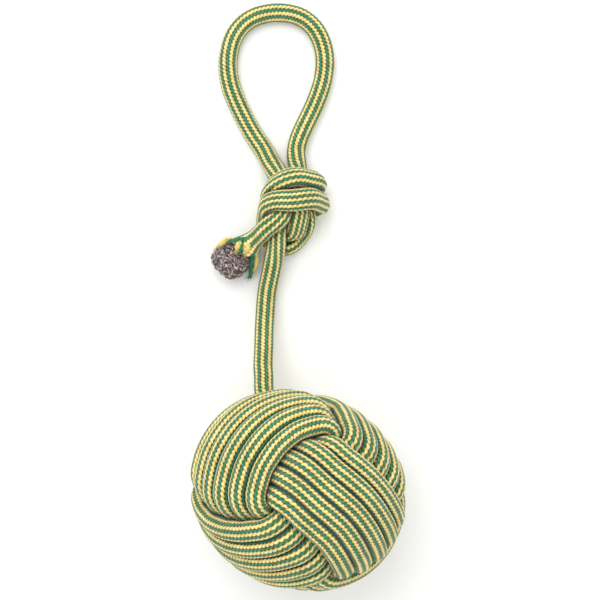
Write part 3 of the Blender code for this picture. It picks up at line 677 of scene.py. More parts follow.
@dataclass(frozen=True)
class Knit:
    """Stitches of the knitted cover: wales that run along the rope, in pairs of two dyes.

    One coordinate counts wales round the rope, with the middle of a green wale at 0, and the
    other counts stitches along it. The geometry and the material use the same pattern.
    """

    wales: int = 16
    stitch: float = 2.06 * MM          # as on the stem
    fist_stitch: float = 2.2 * MM      # stretched over the ball
    knot_squeeze: float = 0.8          # width of the wales on the knot's outer side, against even ones
    yellow_share: float = 0.57
    zigzag: float = 0.14               # how far a wale's border sways, in wales
    slant: float = 0.55                # lean of a stitch across its wale, in stitches
    depth: float = 0.45 * MM
    fullness: float = 0.6              # power that rounds a stitch, from 1 to 0 for a square one
    lobe_share: float = 0.65           # how much of its height a stitch loses towards its ends
    shown_wales: float = 5.0           # on each side of the middle of a fist turn's outer side
    columns: tuple = (0.0, 0.23, 0.46, 0.73, 1.0, 1.27, 1.54, 1.77)
    crown_columns: tuple = (0.0, 0.27, 0.55, 1.0, 1.45, 1.73)     # of a pair whose yellow wale is at 0

    def height(self, around: Points, along: Points) -> Points:
        """Work out the relief of the stitches.

        Args:
            around: Places round the rope, in wales.
            along: Places along it, in stitches.

        Returns:
            The height at each place, from 0 in the creases to 1 on the crowns.
        """
        sway = self.zigzag * (1 - 4 * np.abs(np.mod(along, 1.0) - 0.5))
        share = np.mod((around + sway) / 2 - (1 - self.yellow_share) / 2, 1.0)
        yellow = share < self.yellow_share
        across = np.where(yellow, share / self.yellow_share,
                          (share - self.yellow_share) / (1 - self.yellow_share))
        phase = along + self.slant * (across - 0.5) + np.where(yellow, 0.0, 0.5)
        lobe = np.abs(np.sin(np.pi * phase)) ** self.fullness
        return np.sin(np.pi * across) ** self.fullness * (1 - self.lobe_share + self.lobe_share * lobe)

    def girth_share(self, even: Points, middle: Points, squeeze: Points) -> Points:
        """Return where wales lie round the rope, as shares of its girth.

        Args:
            even: Where they would lie if they were equally wide.
            middle: The middle of the side that shows, at each ring.
            squeeze: Width of the wales there, against even ones, at each ring.

        Returns:
            The shares, at each ring and place.
        """
        away = np.mod(even - middle[:, None] + 0.5, 1.0) - 0.5
        squeeze = squeeze[:, None]
        return middle[:, None] + away * (squeeze + (1 - squeeze) * np.abs(2 * away) ** 5)

    def all_columns(self) -> Points:
        """Return the places of a mesh's columns round the whole rope, in wales."""
        return np.concatenate([2 * pair + np.array(self.columns) for pair in range(self.wales // 2)])

    def outer_columns(self) -> Points:
        """Place a fist turn's columns: close together where they show, and far apart elsewhere.

        Returns:
            The places, in wales.
        """
        shown = np.concatenate([2 * pair + np.array(self.crown_columns) for pair in range(-3, 3)])
        shown = shown[np.abs(shown) <= self.shown_wales]
        return np.concatenate([shown, np.linspace(self.shown_wales, self.wales - self.shown_wales, 7)[1:-1]])


@dataclass
class PressedRope:
    """A stretch of the rope, with the section that its neighbours and the ground press it into."""

    layout: RopeLayout
    start: float
    end: float
    outward: bool         # its upper side faces away from the fist's centre, or else turns with the rope
    half_width: float     # of its section where nothing presses it
    half_height: float

    EVERY = slice(None, None, 3)     # which of the rope's points are stations
    ANGLES = 48
    REACH = 18 * MM            # neighbours farther away don't press
    OWN_STRETCH = 17 * MM      # how much of its own length each place leaves out
    SQUARENESS = 2.2           # power of the free section, which is 2 for an ellipse
    EDGE = 12                  # power that rounds the edges of flat spots
    LEAST = 0.2 * MM           # what is left where something presses all the way
    TOUCH = 0.95               # a limit this far out, against the free radius, still touches
    FADE = 0.22                # over which that ends
    KNOT_REACH = 20 * MM       # rope this near the knot's middle is flat
    KNOT_EDGE = 10 * MM        # over which it becomes round
    WIDER = 0.2                # how much wider and lower the flat rope is than the round one
    LOWER = 0.07

    def __post_init__(self) -> None:
        """Take the stretch from the laid rope and press it."""
        travel = self.layout.travel
        inside = (travel >= self.start - 1e-9) & (travel <= self.end + 1e-9)
        self.travel = travel[inside]
        self.points = self.layout.points[inside]
        self.tangent = unit(np.gradient(self.points, axis=0))
        self.up = self.outward_up() if self.outward else self.carried_up()
        self.side = np.cross(self.tangent, self.up)
        self.station_travel = self.travel[self.EVERY]
        self.lean = np.zeros(len(self.station_travel))    # angle of the knot's outer side
        self.flat = np.zeros(len(self.station_travel))    # 1 in the knot, 0 away from it
        free = self.free_section()
        strands, ground = self.limits()
        press = free / np.maximum(np.minimum(strands, ground), self.LEAST)
        self.radius = self.blurred(free * (1 + press**self.EDGE) ** (-1 / self.EDGE))
        self.bare = self.blurred(ease((1 / press - self.TOUCH) / self.FADE))
        # how shut in by neighbouring strands each place is, which the cover's material turns into painted
        # shade between the strands
        self.shut_in_shade = self.blurred(1 - ease((strands / free - self.TOUCH) / self.FADE))

    def outward_up(self) -> Points:
        """Find the directions away from the fist's centre, square to the rope.

        Returns:
            The direction at each point.
        """
        away = self.points - self.layout.centre
        away -= self.tangent * np.sum(away * self.tangent, axis=1)[:, None]
        return unit(away)

    def carried_up(self) -> Points:
        """Carry a direction along the rope without twist, upward at its start.

        Returns:
            The direction at each point.
        """
        up = np.zeros_like(self.points)
        current = np.array([0.0, 0.0, 1.0])
        for k, tangent in enumerate(self.tangent):
            current = current - tangent * (current @ tangent)
            current /= np.linalg.norm(current)
            up[k] = current
        return up

    def free_section(self) -> Points:
        """Shape the section that nothing presses.

        The fist's turns lie flat on the ball, and the free rope's round section is drawn flat
        only where it wraps the knot.

        Returns:
            The radius at each station and angle.
        """
        angle = np.linspace(0.0, TAU, self.ANGLES, endpoint=False)[None]
        half_width, half_height = self.half_width, self.half_height
        if not self.outward:
            away = self.points[self.EVERY] - self.layout.knot_centre
            far = (np.linalg.norm(away, axis=1) - self.KNOT_REACH) / self.KNOT_EDGE
            past_tail = (self.station_travel - self.KNOT_REACH) / self.KNOT_EDGE
            self.lean = np.unwrap(np.arctan2(np.sum(away * self.side[self.EVERY], axis=1),
                                             np.sum(away * self.up[self.EVERY], axis=1)))
            self.flat = (1 - ease(far)) * ease(past_tail)
            flat = self.flat[:, None]
            angle = angle - self.lean[:, None]
            half_width = half_width * (1 + self.WIDER * flat)
            half_height = half_height * (1 - self.LOWER * flat)
        section = ((np.abs(np.cos(angle)) / half_height) ** self.SQUARENESS
                   + (np.abs(np.sin(angle)) / half_width) ** self.SQUARENESS) ** (-1 / self.SQUARENESS)
        return np.broadcast_to(section, (len(self.station_travel), self.ANGLES))

    def limits(self) -> tuple[Points, Points]:
        """Find how far the rope may reach at each station and angle.

        Returns:
            The limit that other strands set, which is the plane halfway between the centre
            lines, and the one that the ground sets.
        """
        angle = np.linspace(0.0, TAU, self.ANGLES, endpoint=False)
        stations, travel = self.points[self.EVERY], self.station_travel
        up, side = self.up[self.EVERY], self.side[self.EVERY]
        others, other_travel = self.layout.points[::4], self.layout.travel[::4]
        strands = np.full((len(stations), self.ANGLES), 1.0)
        ground = strands.copy()
        for low in range(0, len(stations), 300):
            chunk = slice(low, low + 300)
            here = stations[chunk]
            gap = others[None] - here[:, None]
            square = np.sum(gap**2, axis=2)
            apart = np.abs(other_travel[None] - travel[chunk][:, None])
            near = (square < self.REACH**2) & (apart > self.OWN_STRETCH)
            row, column = np.nonzero(near)
            out = directions(angle[None], up[chunk], side[chunk])
            dots = np.einsum("mk,mak->ma", gap[row, column], out[row])
            reach = np.where(dots > 1e-7, square[row, column][:, None] / 2 / np.maximum(dots, 1e-7), 1.0)
            if len(row):
                first = np.flatnonzero(np.concatenate([[True], row[1:] != row[:-1]]))
                rows = row[first]
                strands[low + rows] = np.minimum.reduceat(reach, first, axis=0)
            down = -out[:, :, 2]
            ground[chunk] = np.where(down > 1e-4, here[:, 2][:, None] / np.maximum(down, 1e-4), 1.0)
        return strands, ground

    def blurred(self, values: Points) -> Points:
        """Even values out along the rope and round it.

        Args:
            values: The values at each station and angle.

        Returns:
            The new values.
        """
        for _ in range(2):
            values = 0.25 * np.roll(values, 1, axis=1) + 0.5 * values + 0.25 * np.roll(values, -1, axis=1)
            padded = np.vstack([values[:1], values, values[-1:]])
            values = 0.25 * padded[:-2] + 0.5 * padded[1:-1] + 0.25 * padded[2:]
        return values

    def read_grid(self, grid: Points, at: Points, angle: Points) -> Points:
        """Read a grid of values between its stations and angles.

        Args:
            grid: The values at each station and angle.
            at: Places along the rope.
            angle: Angles round it at each place.

        Returns:
            The values there.
        """
        row = np.interp(at, self.station_travel, np.arange(len(self.station_travel)))
        low = np.clip(row.astype(int), 0, len(grid) - 2)
        row_part = (row - low)[:, None]
        column = np.mod(angle, TAU) / TAU * self.ANGLES
        left = column.astype(int) % self.ANGLES
        column_part = column - column.astype(int)
        right = (left + 1) % self.ANGLES
        low = np.broadcast_to(low[:, None], left.shape)
        start = grid[low, left] * (1 - column_part) + grid[low, right] * column_part
        end = grid[low + 1, left] * (1 - column_part) + grid[low + 1, right] * column_part
        return start * (1 - row_part) + end * row_part

    def girth_angles(self, at: Points, share: Points) -> Points:
        """Return the angles that shares of the girth reach.

        Args:
            at: Places along the rope.
            share: Shares of the girth at each place, from its upper side.

        Returns:
            The angles.
        """
        turn = np.linspace(0.0, TAU, self.ANGLES + 1)
        radius = np.hstack([self.radius, self.radius[:, :1]])
        section = np.stack([radius * np.cos(turn), radius * np.sin(turn)], axis=2)
        steps = np.linalg.norm(np.diff(section, axis=1), axis=2)
        travel = np.hstack([np.zeros((len(steps), 1)), np.cumsum(steps, axis=1)])
        rows = read_line(travel / travel[:, -1:], self.station_travel, at)
        share = np.mod(share, 1.0)
        return np.array([np.interp(wanted, row, turn) for wanted, row in zip(share, rows)])


def side_faces(count: int, columns: int) -> tuple[Points, Points, Points]:
    """Number the faces between the rings of a closed tube.

    Args:
        count: How many rings it has.
        columns: Points in a ring.

    Returns:
        Each face's ring and column, and its four points: on this ring, on the next, the next
        one there and the next one here.
    """
    i, j = (grid.ravel() for grid in np.meshgrid(np.arange(count - 1), np.arange(columns), indexing="ij"))
    after = (j + 1) % columns
    here, there = i * columns, (i + 1) * columns
    return i, j, np.stack([here + j, there + j, there + after, here + after], axis=1)


def face_corners(low: Points, high: Points, near: Points, far: Points) -> Points:
    """Return the map corners of faces that reach from low to high and from near to far."""
    pairs = ((low, near), (high, near), (high, far), (low, far))
    return np.stack([np.stack(pair, axis=1) for pair in pairs], axis=1).reshape(-1, 2)


def new_mesh(name: str, points: Points, faces: list, maps: dict[str, Points], value: str,
             values: Points) -> bpy.types.Object:
    """Make a smooth mesh.

    Args:
        name: Its name.
        points: Its points.
        faces: The points of each face.
        maps: Its maps by name, corner by corner.
        value: Name of a value that its points have.
        values: That value at each point.

    Returns:
        The object.
    """
    mesh = bpy.data.meshes.new(name)
    mesh.from_pydata(points.tolist(), [], faces)
    for title, corners in maps.items():
        layer = mesh.uv_layers.new(name=title, do_init=False)
        layer.uv.foreach_set("vector", np.ascontiguousarray(corners, np.float32).ravel())
    attribute = mesh.attributes.new(value, "FLOAT", "POINT")
    attribute.data.foreach_set("value", values.astype(np.float32))
    mesh.uv_layers[0].active = True
    mesh.uv_layers[0].active_render = True
    mesh.shade_smooth()
    mesh.update()
    return new_object(mesh)


@dataclass
class TubeMesh:
    """Makes one closed mesh from rings of points, with the cover's coordinates on it."""

    name: str
    rings: Points
    around: Points
    along: Points
    wales: int
    # how much painted shade each point gets where neighbouring rope shuts it in
    pressed: Points
    margin: float = 0.006     # of the bake map, which its strips leave free at their ends
    strips_share: float = 0.97
    lane_share: float = 0.94

    def build(self) -> bpy.types.Object:
        """Make the mesh and its two maps.

        Returns:
            The object.
        """
        count, columns = self.rings.shape[:2]
        i, j, quads = side_faces(count, columns)
        first = count * columns
        base = first - columns
        fan = np.arange(columns)
        turned = (fan + 1) % columns
        caps = [np.stack([np.full(columns, first), fan, turned], axis=1),
                np.stack([np.full(columns, first + 1), base + turned, base + fan], axis=1)]
        wrapped = np.append(self.around, self.around[0] + self.wales)
        cover = [face_corners(self.along[i], self.along[i + 1], wrapped[j], wrapped[j + 1])[:, ::-1]]
        cap_around = np.stack([wrapped[fan], wrapped[fan], wrapped[fan + 1]], axis=1)
        cover += [np.stack([cap_around, np.full((columns, 3), self.along[k])], axis=2).reshape(-1, 2)
                  for k in (0, -1)]
        middles = [ring.mean(axis=0) for ring in (self.rings[0], self.rings[-1])]
        maps = {"cover": np.vstack(cover), "OFBake": np.vstack([self.strips(i, j), self.cap_discs()])}
        return new_mesh(self.name, np.vstack([self.rings.reshape(-1, 3), middles]),
                        quads.tolist() + caps[0].tolist() + caps[1].tolist(), maps, "pressed",
                        np.append(self.pressed.ravel(), (0.0, 0.0)))

    def strips(self, i: Points, j: Points) -> Points:
        """Lay the side out on the bake map, as lengths of rope beside one another.

        Args:
            i: The ring of each face.
            j: The column of each face.

        Returns:
            The faces' corners.
        """
        travel = arc_length(self.rings.mean(axis=1))
        middle = self.rings[len(self.rings) // 2]
        girth = arc_length(np.vstack([middle, middle[:1]]))
        count = max(1, int(round(math.sqrt(travel[-1] / girth[-1]))))
        strip = np.minimum((travel[:-1] / (travel[-1] / count)).astype(int), count - 1)
        rows = [np.flatnonzero(strip == k) for k in range(count)]
        start = np.array([travel[row[0]] for row in rows])
        longest = max(travel[row[-1] + 1] - travel[row[0]] for row in rows)
        low, high = (self.margin + (travel[k] - start[strip[i]]) / longest * (1 - 2 * self.margin)
                     for k in (i, i + 1))
        lane = self.strips_share / count
        base = strip[i] * lane
        near, far = (base + lane * ((1 - self.lane_share) / 2 + self.lane_share * girth[k] / girth[-1])
                     for k in (j, j + 1))
        return face_corners(low, high, near, far)

    def cap_discs(self) -> Points:
        """Lay the two ends out on the bake map, as small discs above the strips.

        Returns:
            The corners of their faces.
        """
        turn = np.linspace(0.0, TAU, self.rings.shape[1] + 1)
        rim = 0.01 * np.stack([np.cos(turn), np.sin(turn)], axis=1)
        discs = [np.stack([np.zeros_like(rim[1:]), rim[:-1], rim[1:]], axis=1).reshape(-1, 2) + middle
                 for middle in ((0.02, 0.985), (0.06, 0.985))]
        return np.vstack(discs)


@dataclass
class CoverMaker:
    """Lays the knitted cover round stretches of the rope."""

    layout: RopeLayout
    knit: Knit = field(default_factory=Knit)
    over: tuple = (4.5 * MM, 20 * MM)     # a turn covers another this far beneath it,
    over_half: float = 5 * MM             # and this far to either side,
    own_stretch: float = 20 * MM          # unless it is the same turn
    edge: int = 3                         # stations at the end of a hidden place that still show
    # waves of the rope's twist about itself: length, strength and share of the seed
    waves: tuple = ((61 * MM, 1.0, 1.0), (27 * MM, 0.6, 2.3))

    def twist(self, at: Points, seed: float, sway: float) -> Points:
        """Return how far the rope is turned about itself along its length, in radians."""
        wave = sum(strength * np.sin(at / length + share * seed) for length, strength, share in self.waves)
        return sway * wave / sum(strength for _, strength, _ in self.waves)

    def hidden(self, rope: PressedRope, at: Points) -> Points:
        """Tell which places of the fist's rope lie under other turns.

        Args:
            rope: The stretch.
            at: Places along it.

        Returns:
            True where the rope doesn't show.
        """
        every = 8
        here, travel, up = rope.points[::every], rope.travel[::every], rope.up[::every]
        others, other_travel = self.layout.points[::4], self.layout.travel[::4]
        gap = others[None] - here[:, None]
        above = np.einsum("ijk,ik->ij", gap, up)
        beside = np.sqrt(np.maximum(np.sum(gap**2, axis=2) - above**2, 0.0))
        far = np.abs(other_travel[None] - travel[:, None]) > self.own_stretch
        near = (above > self.over[0]) & (above < self.over[1]) & (beside < self.over_half)
        covered = np.any(near & far, axis=1)
        shown = ~covered
        for shift in range(-self.edge, self.edge + 1):
            shown |= np.roll(~covered, shift)
        return np.interp(at, travel, (~shown).astype(float)) > 0.99

    def places(self, start: float, end: float, stitch: float, rope: PressedRope | None) -> Points:
        """Place the rings: four to a stitch where the rope shows, and fewer where it doesn't.

        Args:
            start: Where the piece starts along the rope.
            end: Where it ends.
            stitch: Length of a stitch.
            rope: The rope, if some of it is hidden under other turns.

        Returns:
            The places along the rope.
        """
        count = int(round((end - start) / (stitch / 4)))
        at = np.linspace(start, end, count + 1)
        if rope is None:
            return at
        keep = ~self.hidden(rope, at)
        keep[::6] = True
        keep[[0, -1]] = True
        return at[keep]

    def lay(self, name: str, rope: PressedRope, start: float, end: float, stitch: float, columns: Points,
            crown_squeeze: float | None = None, first_wale: float = 0.0, turns: tuple = ((0.0, 0.0),),
            sway: float = 0.0, mouth: "FrayedMouth | None" = None) -> bpy.types.Object:
        """Lay the cover along a stretch.

        Args:
            name: Name of the piece.
            rope: The pressed rope.
            start: Where the piece starts along the rope.
            end: Where it ends.
            stitch: Length of a stitch.
            columns: Places of the mesh's columns, in wales.
            crown_squeeze: Width of the wales that show, against even ones, for a turn of the
                fist. Its hidden rings are left out.
            first_wale: Which wale lies in the middle of the columns.
            turns: How far the cover is turned about the rope, in wales, at distances along it.
            sway: How far it turns to and fro, in radians.
            mouth: The frayed opening at its start, if it has one.

        Returns:
            The piece.
        """
        wound = crown_squeeze is not None
        at = self.places(start, end, stitch, rope if wound else None)
        along = at / stitch
        places, turned = np.array(turns).T
        turn = np.interp(at, places, turned) / self.knit.wales + self.twist(at, start * 40, sway) / TAU
        if wound:
            middle, squeeze = turn, np.full(len(at), crown_squeeze)
        else:
            middle = np.interp(at, rope.station_travel, rope.lean) / TAU
            squeeze = 1 - (1 - self.knit.knot_squeeze) * np.interp(at, rope.station_travel, rope.flat)
        even = columns[None] / self.knit.wales + turn[:, None]
        angle = rope.girth_angles(at, self.knit.girth_share(even, middle, squeeze))
        radius = rope.read_grid(rope.radius, at, angle)
        bare = np.clip(rope.read_grid(rope.bare, at, angle), 0.0, 1.0)
        if wound:
            spread = np.abs(np.mod(columns + self.knit.wales / 2, self.knit.wales) - self.knit.wales / 2)
            bare = bare * (spread <= self.knit.shown_wales)[None]
        height = self.knit.height(columns[None] + first_wale, along[:, None])
        radius = radius - self.knit.depth * (1 - height) * bare
        centre = read_line(rope.points, rope.travel, at)
        up, side = (read_line(values, rope.travel, at) for values in (rope.up, rope.side))
        out = directions(angle, up, side)
        rings = grounded(centre[:, None] + out * radius[:, :, None])
        # painted shade where neighbouring strands shut the rope in
        pressed = np.clip(rope.read_grid(rope.shut_in_shade, at, angle), 0.0, 1.0) ** 1.5
        if mouth is not None:
            rings, along = mouth.open(rings, centre, out, at - start, along, columns)
            # the mouth's inner wall gets full painted shade
            pressed = np.vstack([np.ones((len(rings) - len(pressed), len(columns))), pressed])
        return TubeMesh(name, rings, columns + first_wale, along, self.knit.wales, pressed).build()


@dataclass
class FrayedMouth:
    """The cut opening of the cover: it flares, its wales end unevenly and its edge turns in."""

    axis: Points
    side: Points
    flare: float = 2.6 * MM
    reach: float = 11 * MM
    ragged: float = 0.9 * MM
    slant: float = 3.2 * MM       # how much shorter the cover is on one side
    wall: float = 1.5 * MM
    inside: float = 4 * MM
    parting: float = 0.7 * MM     # depth of the clefts between the wales at the edge
    ragged_reach: float = 4 * MM
    wall_rings: int = 6
    turn_in: float = 2.2          # how fast the edge reaches the wall's thickness

    def open(self, rings: Points, centre: Points, out: Points, travel: Points, along: Points,
             columns: Points) -> tuple[Points, Points]:
        """Shape the first rings and add the inner wall.

        Args:
            rings: The rings, from the mouth on.
            centre: Their centres; not used.
            out: The outward direction of every point.
            travel: How far each ring is from the mouth.
            along: The rings' places in stitches.
            columns: The columns' places in wales.

        Returns:
            The rings with the inner wall before them, and their places in stitches.
        """
        near = ease(1 - travel / self.reach)[:, None]
        # two waves of different length make the wales' ends uneven
        wale = np.sin(columns * 2.1) * 0.6 + np.sin(columns * 0.9 + 1.0) * 0.4
        cleft = self.parting * near**3 * np.sin(np.pi * columns)[None] ** 2
        rings = rings + out * (self.flare * near**1.5 * (1 + 0.2 * wale[None]) - cleft)[:, :, None]
        shift = self.ragged * wale[None] * ease(1 - travel / self.ragged_reach)[:, None]
        shift = shift - self.slant * ease((out[0] @ self.side + 0.3) / 1.3)[None] * near
        rings = rings + self.axis * shift[:, :, None]
        turned = []
        for k in range(self.wall_rings, 0, -1):
            share = k / self.wall_rings
            drop = self.wall * min(1.0, self.turn_in * share)
            turned.append(rings[0] - out[0] * drop - self.axis * (self.inside * share**1.3))
        inner_along = along[0] - np.arange(self.wall_rings, 0, -1) * 0.4
        return np.concatenate([np.array(turned), rings]), np.concatenate([inner_along, along])


def grounded(rings: Points) -> Points:
    """Return rings that don't reach below the ground."""
    rings[..., 2] = np.maximum(rings[..., 2], FLOOR_GAP)
    return rings


def tube_rings(points: Points, radii: Points, sides: int, phase: float = 0.0) -> Points:
    """Lay rings of points round a line.

    Args:
        points: The line.
        radii: Its radius at each point.
        sides: Points in a ring.
        phase: Angle of a ring's first point.

    Returns:
        The rings.
    """
    tangent = unit(np.gradient(points, axis=0))
    side = unit(np.cross(tangent, np.eye(3)[np.argmin(np.abs(tangent.mean(axis=0)))]))
    up = np.cross(side, tangent)
    angle = phase + np.linspace(0.0, TAU, sides, endpoint=False)
    return points[:, None] + radii[:, None, None] * directions(angle[None], side, up)


@dataclass
class TubeBundle:
    """Makes one mesh from many closed tubes, with a shade of its own for each."""

    name: str
    tubes: list[tuple[Points, float]] = field(default_factory=list)

    def add(self, rings: Points, shade: float) -> None:
        """Add a tube by its rings."""
        self.tubes.append((grounded(rings), shade))

    def build(self) -> bpy.types.Object:
        """Make the mesh, its bake map and its shades.

        Returns:
            The object.
        """
        vertices, faces, corners, shades = [], [], [], []
        across = math.ceil(math.sqrt(len(self.tubes)))
        base = 0
        for number, (rings, shade) in enumerate(self.tubes):
            count, sides = rings.shape[:2]
            i, j, quads = side_faces(count, sides)
            ring = np.arange(sides)
            vertices.append(rings.reshape(-1, 3))
            faces += (base + quads).tolist()
            faces += [(base + ring).tolist(), (base + (count - 1) * sides + ring[::-1]).tolist()]
            side_map = face_corners(i, i + 1, j, j + 1) / (count - 1, sides)
            cap = np.stack([np.cos(TAU * ring / sides), np.sin(TAU * ring / sides)], axis=1)
            parts = [side_map * (0.72, 0.88), (0.81, 0.2) + 0.05 * cap, (0.81, 0.6) + 0.05 * cap[::-1]]
            cell = np.array([number % across, number // across]) + 0.06
            corners.append((cell + np.vstack(parts)) / across)
            shades.append(np.full(count * sides, shade))
            base += count * sides
        return new_mesh(self.name, np.vstack(vertices), faces, {"OFBake": np.vstack(corners)}, "shade",
                        np.concatenate(shades))


# Finishes

@dataclass(frozen=True)
class KnittedCotton:
    """Knitted cotton cover in two dyes: matt, with crowned stitches, painted shade in the creases, painted
    light on the crowns and loose fibres.
    """

    knit: Knit = field(default_factory=Knit)
    fibre_across: float = 9.0     # fibres in a stitch's width, coarser than real ones so that they show
    fibre_along: float = 1.6
    bump: float = 0.3 * MM

    def material(self) -> bpy.types.Material:
        """Make the material from the cover's coordinates, its wales and stitches.

        Returns:
            The material.
        """
        material, shader = new_material("knitted_cotton_cover")
        tree = material.node_tree
        knit = self.knit
        uv = add_node(tree, "ShaderNodeUVMap", {"uv_map": "cover"})
        place = add_node(tree, "ShaderNodeSeparateXYZ", inputs={0: uv.outputs[0]})
        made = {"around": place.outputs[0], "along": place.outputs[1]}
        add_chain(tree, made, "ShaderNodeMath", "operation", (
            # the wale's border sways to and fro once a stitch
            ("wave", "PINGPONG", "along", 0.5),
            ("sway", "MULTIPLY_ADD", "wave", 4 * knit.zigzag, -knit.zigzag),
            ("swayed", "ADD", "around", "sway"),
            ("pair", "MULTIPLY_ADD", "swayed", 0.5, (knit.yellow_share - 1) / 2),
            ("share", "FRACT", "pair"),
            ("number", "FLOOR", "pair"),
            ("green", "GREATER_THAN", "share", knit.yellow_share),
            ("yellow_across", "DIVIDE", "share", knit.yellow_share),
            ("past_yellow", "SUBTRACT", "share", knit.yellow_share),
            ("green_across", "DIVIDE", "past_yellow", 1 - knit.yellow_share),
            ("difference", "SUBTRACT", "green_across", "yellow_across"),
            ("across", "MULTIPLY_ADD", "difference", "green", "yellow_across"),
            # a stitch leans across its wale, and the green ones lie half a stitch further
            ("lean", "MULTIPLY_ADD", "across", knit.slant, "along"),
            ("ahead", "MULTIPLY_ADD", "green", 0.5, "lean"),
            ("phase", "SUBTRACT", "ahead", knit.slant / 2),
            ("row", "FLOOR", "phase"),
            ("heel", "FRACT", "phase"),
            ("across_turn", "MULTIPLY", "across", math.pi),
            ("phase_turn", "MULTIPLY", "phase", math.pi),
            ("across_wave", "SINE", "across_turn"),
            ("phase_wave", "SINE", "phase_turn"),
            ("phase_size", "ABSOLUTE", "phase_wave"),
            ("ridge", "POWER", "across_wave", knit.fullness),
            ("lobe", "POWER", "phase_size", knit.fullness),
            ("crown", "MULTIPLY_ADD", "lobe", knit.lobe_share, 1 - knit.lobe_share),
            ("height", "MULTIPLY", "ridge", "crown"),
            ("fibre_x", "MULTIPLY", "phase", self.fibre_across),
            ("fibre_y", "MULTIPLY", "across", self.fibre_along)))

        # loose fibres run along the leaning stitches, and each stitch has a number by chance
        spots = [add_node(tree, "ShaderNodeCombineXYZ", inputs={0: made[x], 1: made[y], 2: made[z]})
                 for x, y, z in (("fibre_x", "fibre_y", "number"), ("row", "number", "green"))]
        fibre = add_node(tree, "ShaderNodeTexNoise", inputs={
            "Vector": spots[0].outputs[0], "Scale": 1.0, "Detail": 2.0, "Roughness": 0.6}).outputs[0]
        chance = add_node(tree, "ShaderNodeTexWhiteNoise", inputs={"Vector": spots[1].outputs[0]})
        patch = add_node(tree, "ShaderNodeTexNoise", inputs={
            "Vector": add_node(tree, "ShaderNodeTexCoord").outputs["Object"], "Scale": 55.0,
            "Detail": 3.0}).outputs[0]
        pressed = add_node(tree, "ShaderNodeAttribute", {"attribute_name": "pressed"}).outputs["Fac"]

        # painted shade darkens the creases and the places that other rope presses, and each stitch
        # has its own depth of dye
        made |= {"fibre": fibre, "chance": chance.outputs["Value"], "pressed": pressed}
        add_chain(tree, made, "ShaderNodeMath", "operation", (
            ("grain", "MULTIPLY_ADD", "fibre", 0.34, -0.17),
            ("dyed", "MULTIPLY_ADD", "chance", 0.22, "grain"),
            # the relief's height lifts the tone: painted shade in the creases, painted light on the crowns
            ("relief_shaded", "ADD", "dyed", "height"),
            # painted shade that deepens across each stitch from its start to its heel
            ("heel_shaded", "MULTIPLY_ADD", "heel", -0.2, "relief_shaded"),
            # painted shade where other rope presses
            ("tone", "MULTIPLY_ADD", "pressed", -0.65, "heel_shaded"),
            ("relief", "MULTIPLY_ADD", "fibre", 0.35, "height")))
        yellow, green = (fill_ramp(add_node(tree, "ShaderNodeValToRGB", inputs={0: made["tone"]}),
                                   dye.stops(0.16, 0.6)) for dye in (Dye.YELLOW, Dye.GREEN))
        colour = add_node(tree, "ShaderNodeMix", {"data_type": "RGBA"},
                          {"Factor": made["green"], "A": yellow, "B": green}).outputs["Result"]
        fade = add_node(tree, "ShaderNodeMapRange", inputs={
            "Value": patch, "From Min": 0.3, "From Max": 0.7, "To Min": 0.9, "To Max": 1.08})
        faded = add_node(tree, "ShaderNodeHueSaturation", inputs={"Color": colour, "Value": fade.outputs[0]})
        rough = add_node(tree, "ShaderNodeMapRange", inputs={
            "Value": fibre, "From Min": 0.2, "From Max": 0.8, "To Min": 0.8, "To Max": 0.95})
        bump = add_node(tree, "ShaderNodeBump", inputs={
            "Strength": 0.9, "Distance": self.bump, "Height": made["relief"]})
        feed(tree, shader, {"Base Color": faded.outputs[0], "Roughness": rough.outputs[0],
                            "Normal": bump.outputs[0], "Sheen Weight": 0.25, "Sheen Roughness": 0.5,
                            "Specular IOR Level": 0.25})
        return material


@dataclass(frozen=True)
class LooseFibre:
    """Loose textile fibre: matt, with a shade of its own for each tube under a fine fluff."""

    name: str
    stops: tuple                     # colours by shade, the two ends first
    fluff: float                     # its scale
    fluff_roughness: float
    contrast: float
    roughness: tuple[float, float]
    sheen: float
    specular: float

    def material(self) -> bpy.types.Material:
        """Make the material from each tube's shade and the fluff.

        Returns:
            The material.
        """
        material, shader = new_material(self.name)
        tree = material.node_tree
        shade = add_node(tree, "ShaderNodeAttribute", {"attribute_name": "shade"}).outputs["Fac"]
        fluff = add_node(tree, "ShaderNodeTexNoise", inputs={
            "Vector": add_node(tree, "ShaderNodeTexCoord").outputs["Object"], "Scale": self.fluff,
            "Detail": 3.0, "Roughness": self.fluff_roughness}).outputs[0]
        made = {"shade": shade, "fluff": fluff}
        add_chain(tree, made, "ShaderNodeMath", "operation", (
            ("shift", "MULTIPLY_ADD", "fluff", self.contrast, -self.contrast / 2),
            ("tone", "ADD", "shift", "shade")))
        colour = fill_ramp(add_node(tree, "ShaderNodeValToRGB", inputs={0: made["tone"]}), self.stops)
        bump = add_node(tree, "ShaderNodeBump", inputs={
            "Strength": 0.8, "Distance": 0.15 * MM, "Height": fluff})
        rough = add_node(tree, "ShaderNodeMapRange", inputs={
            "Value": fluff, "To Min": self.roughness[0], "To Max": self.roughness[1]})
        feed(tree, shader, {"Base Color": colour, "Roughness": rough.outputs[0], "Normal": bump.outputs[0],
                            "Sheen Weight": self.sheen, "Specular IOR Level": self.specular})
        return material


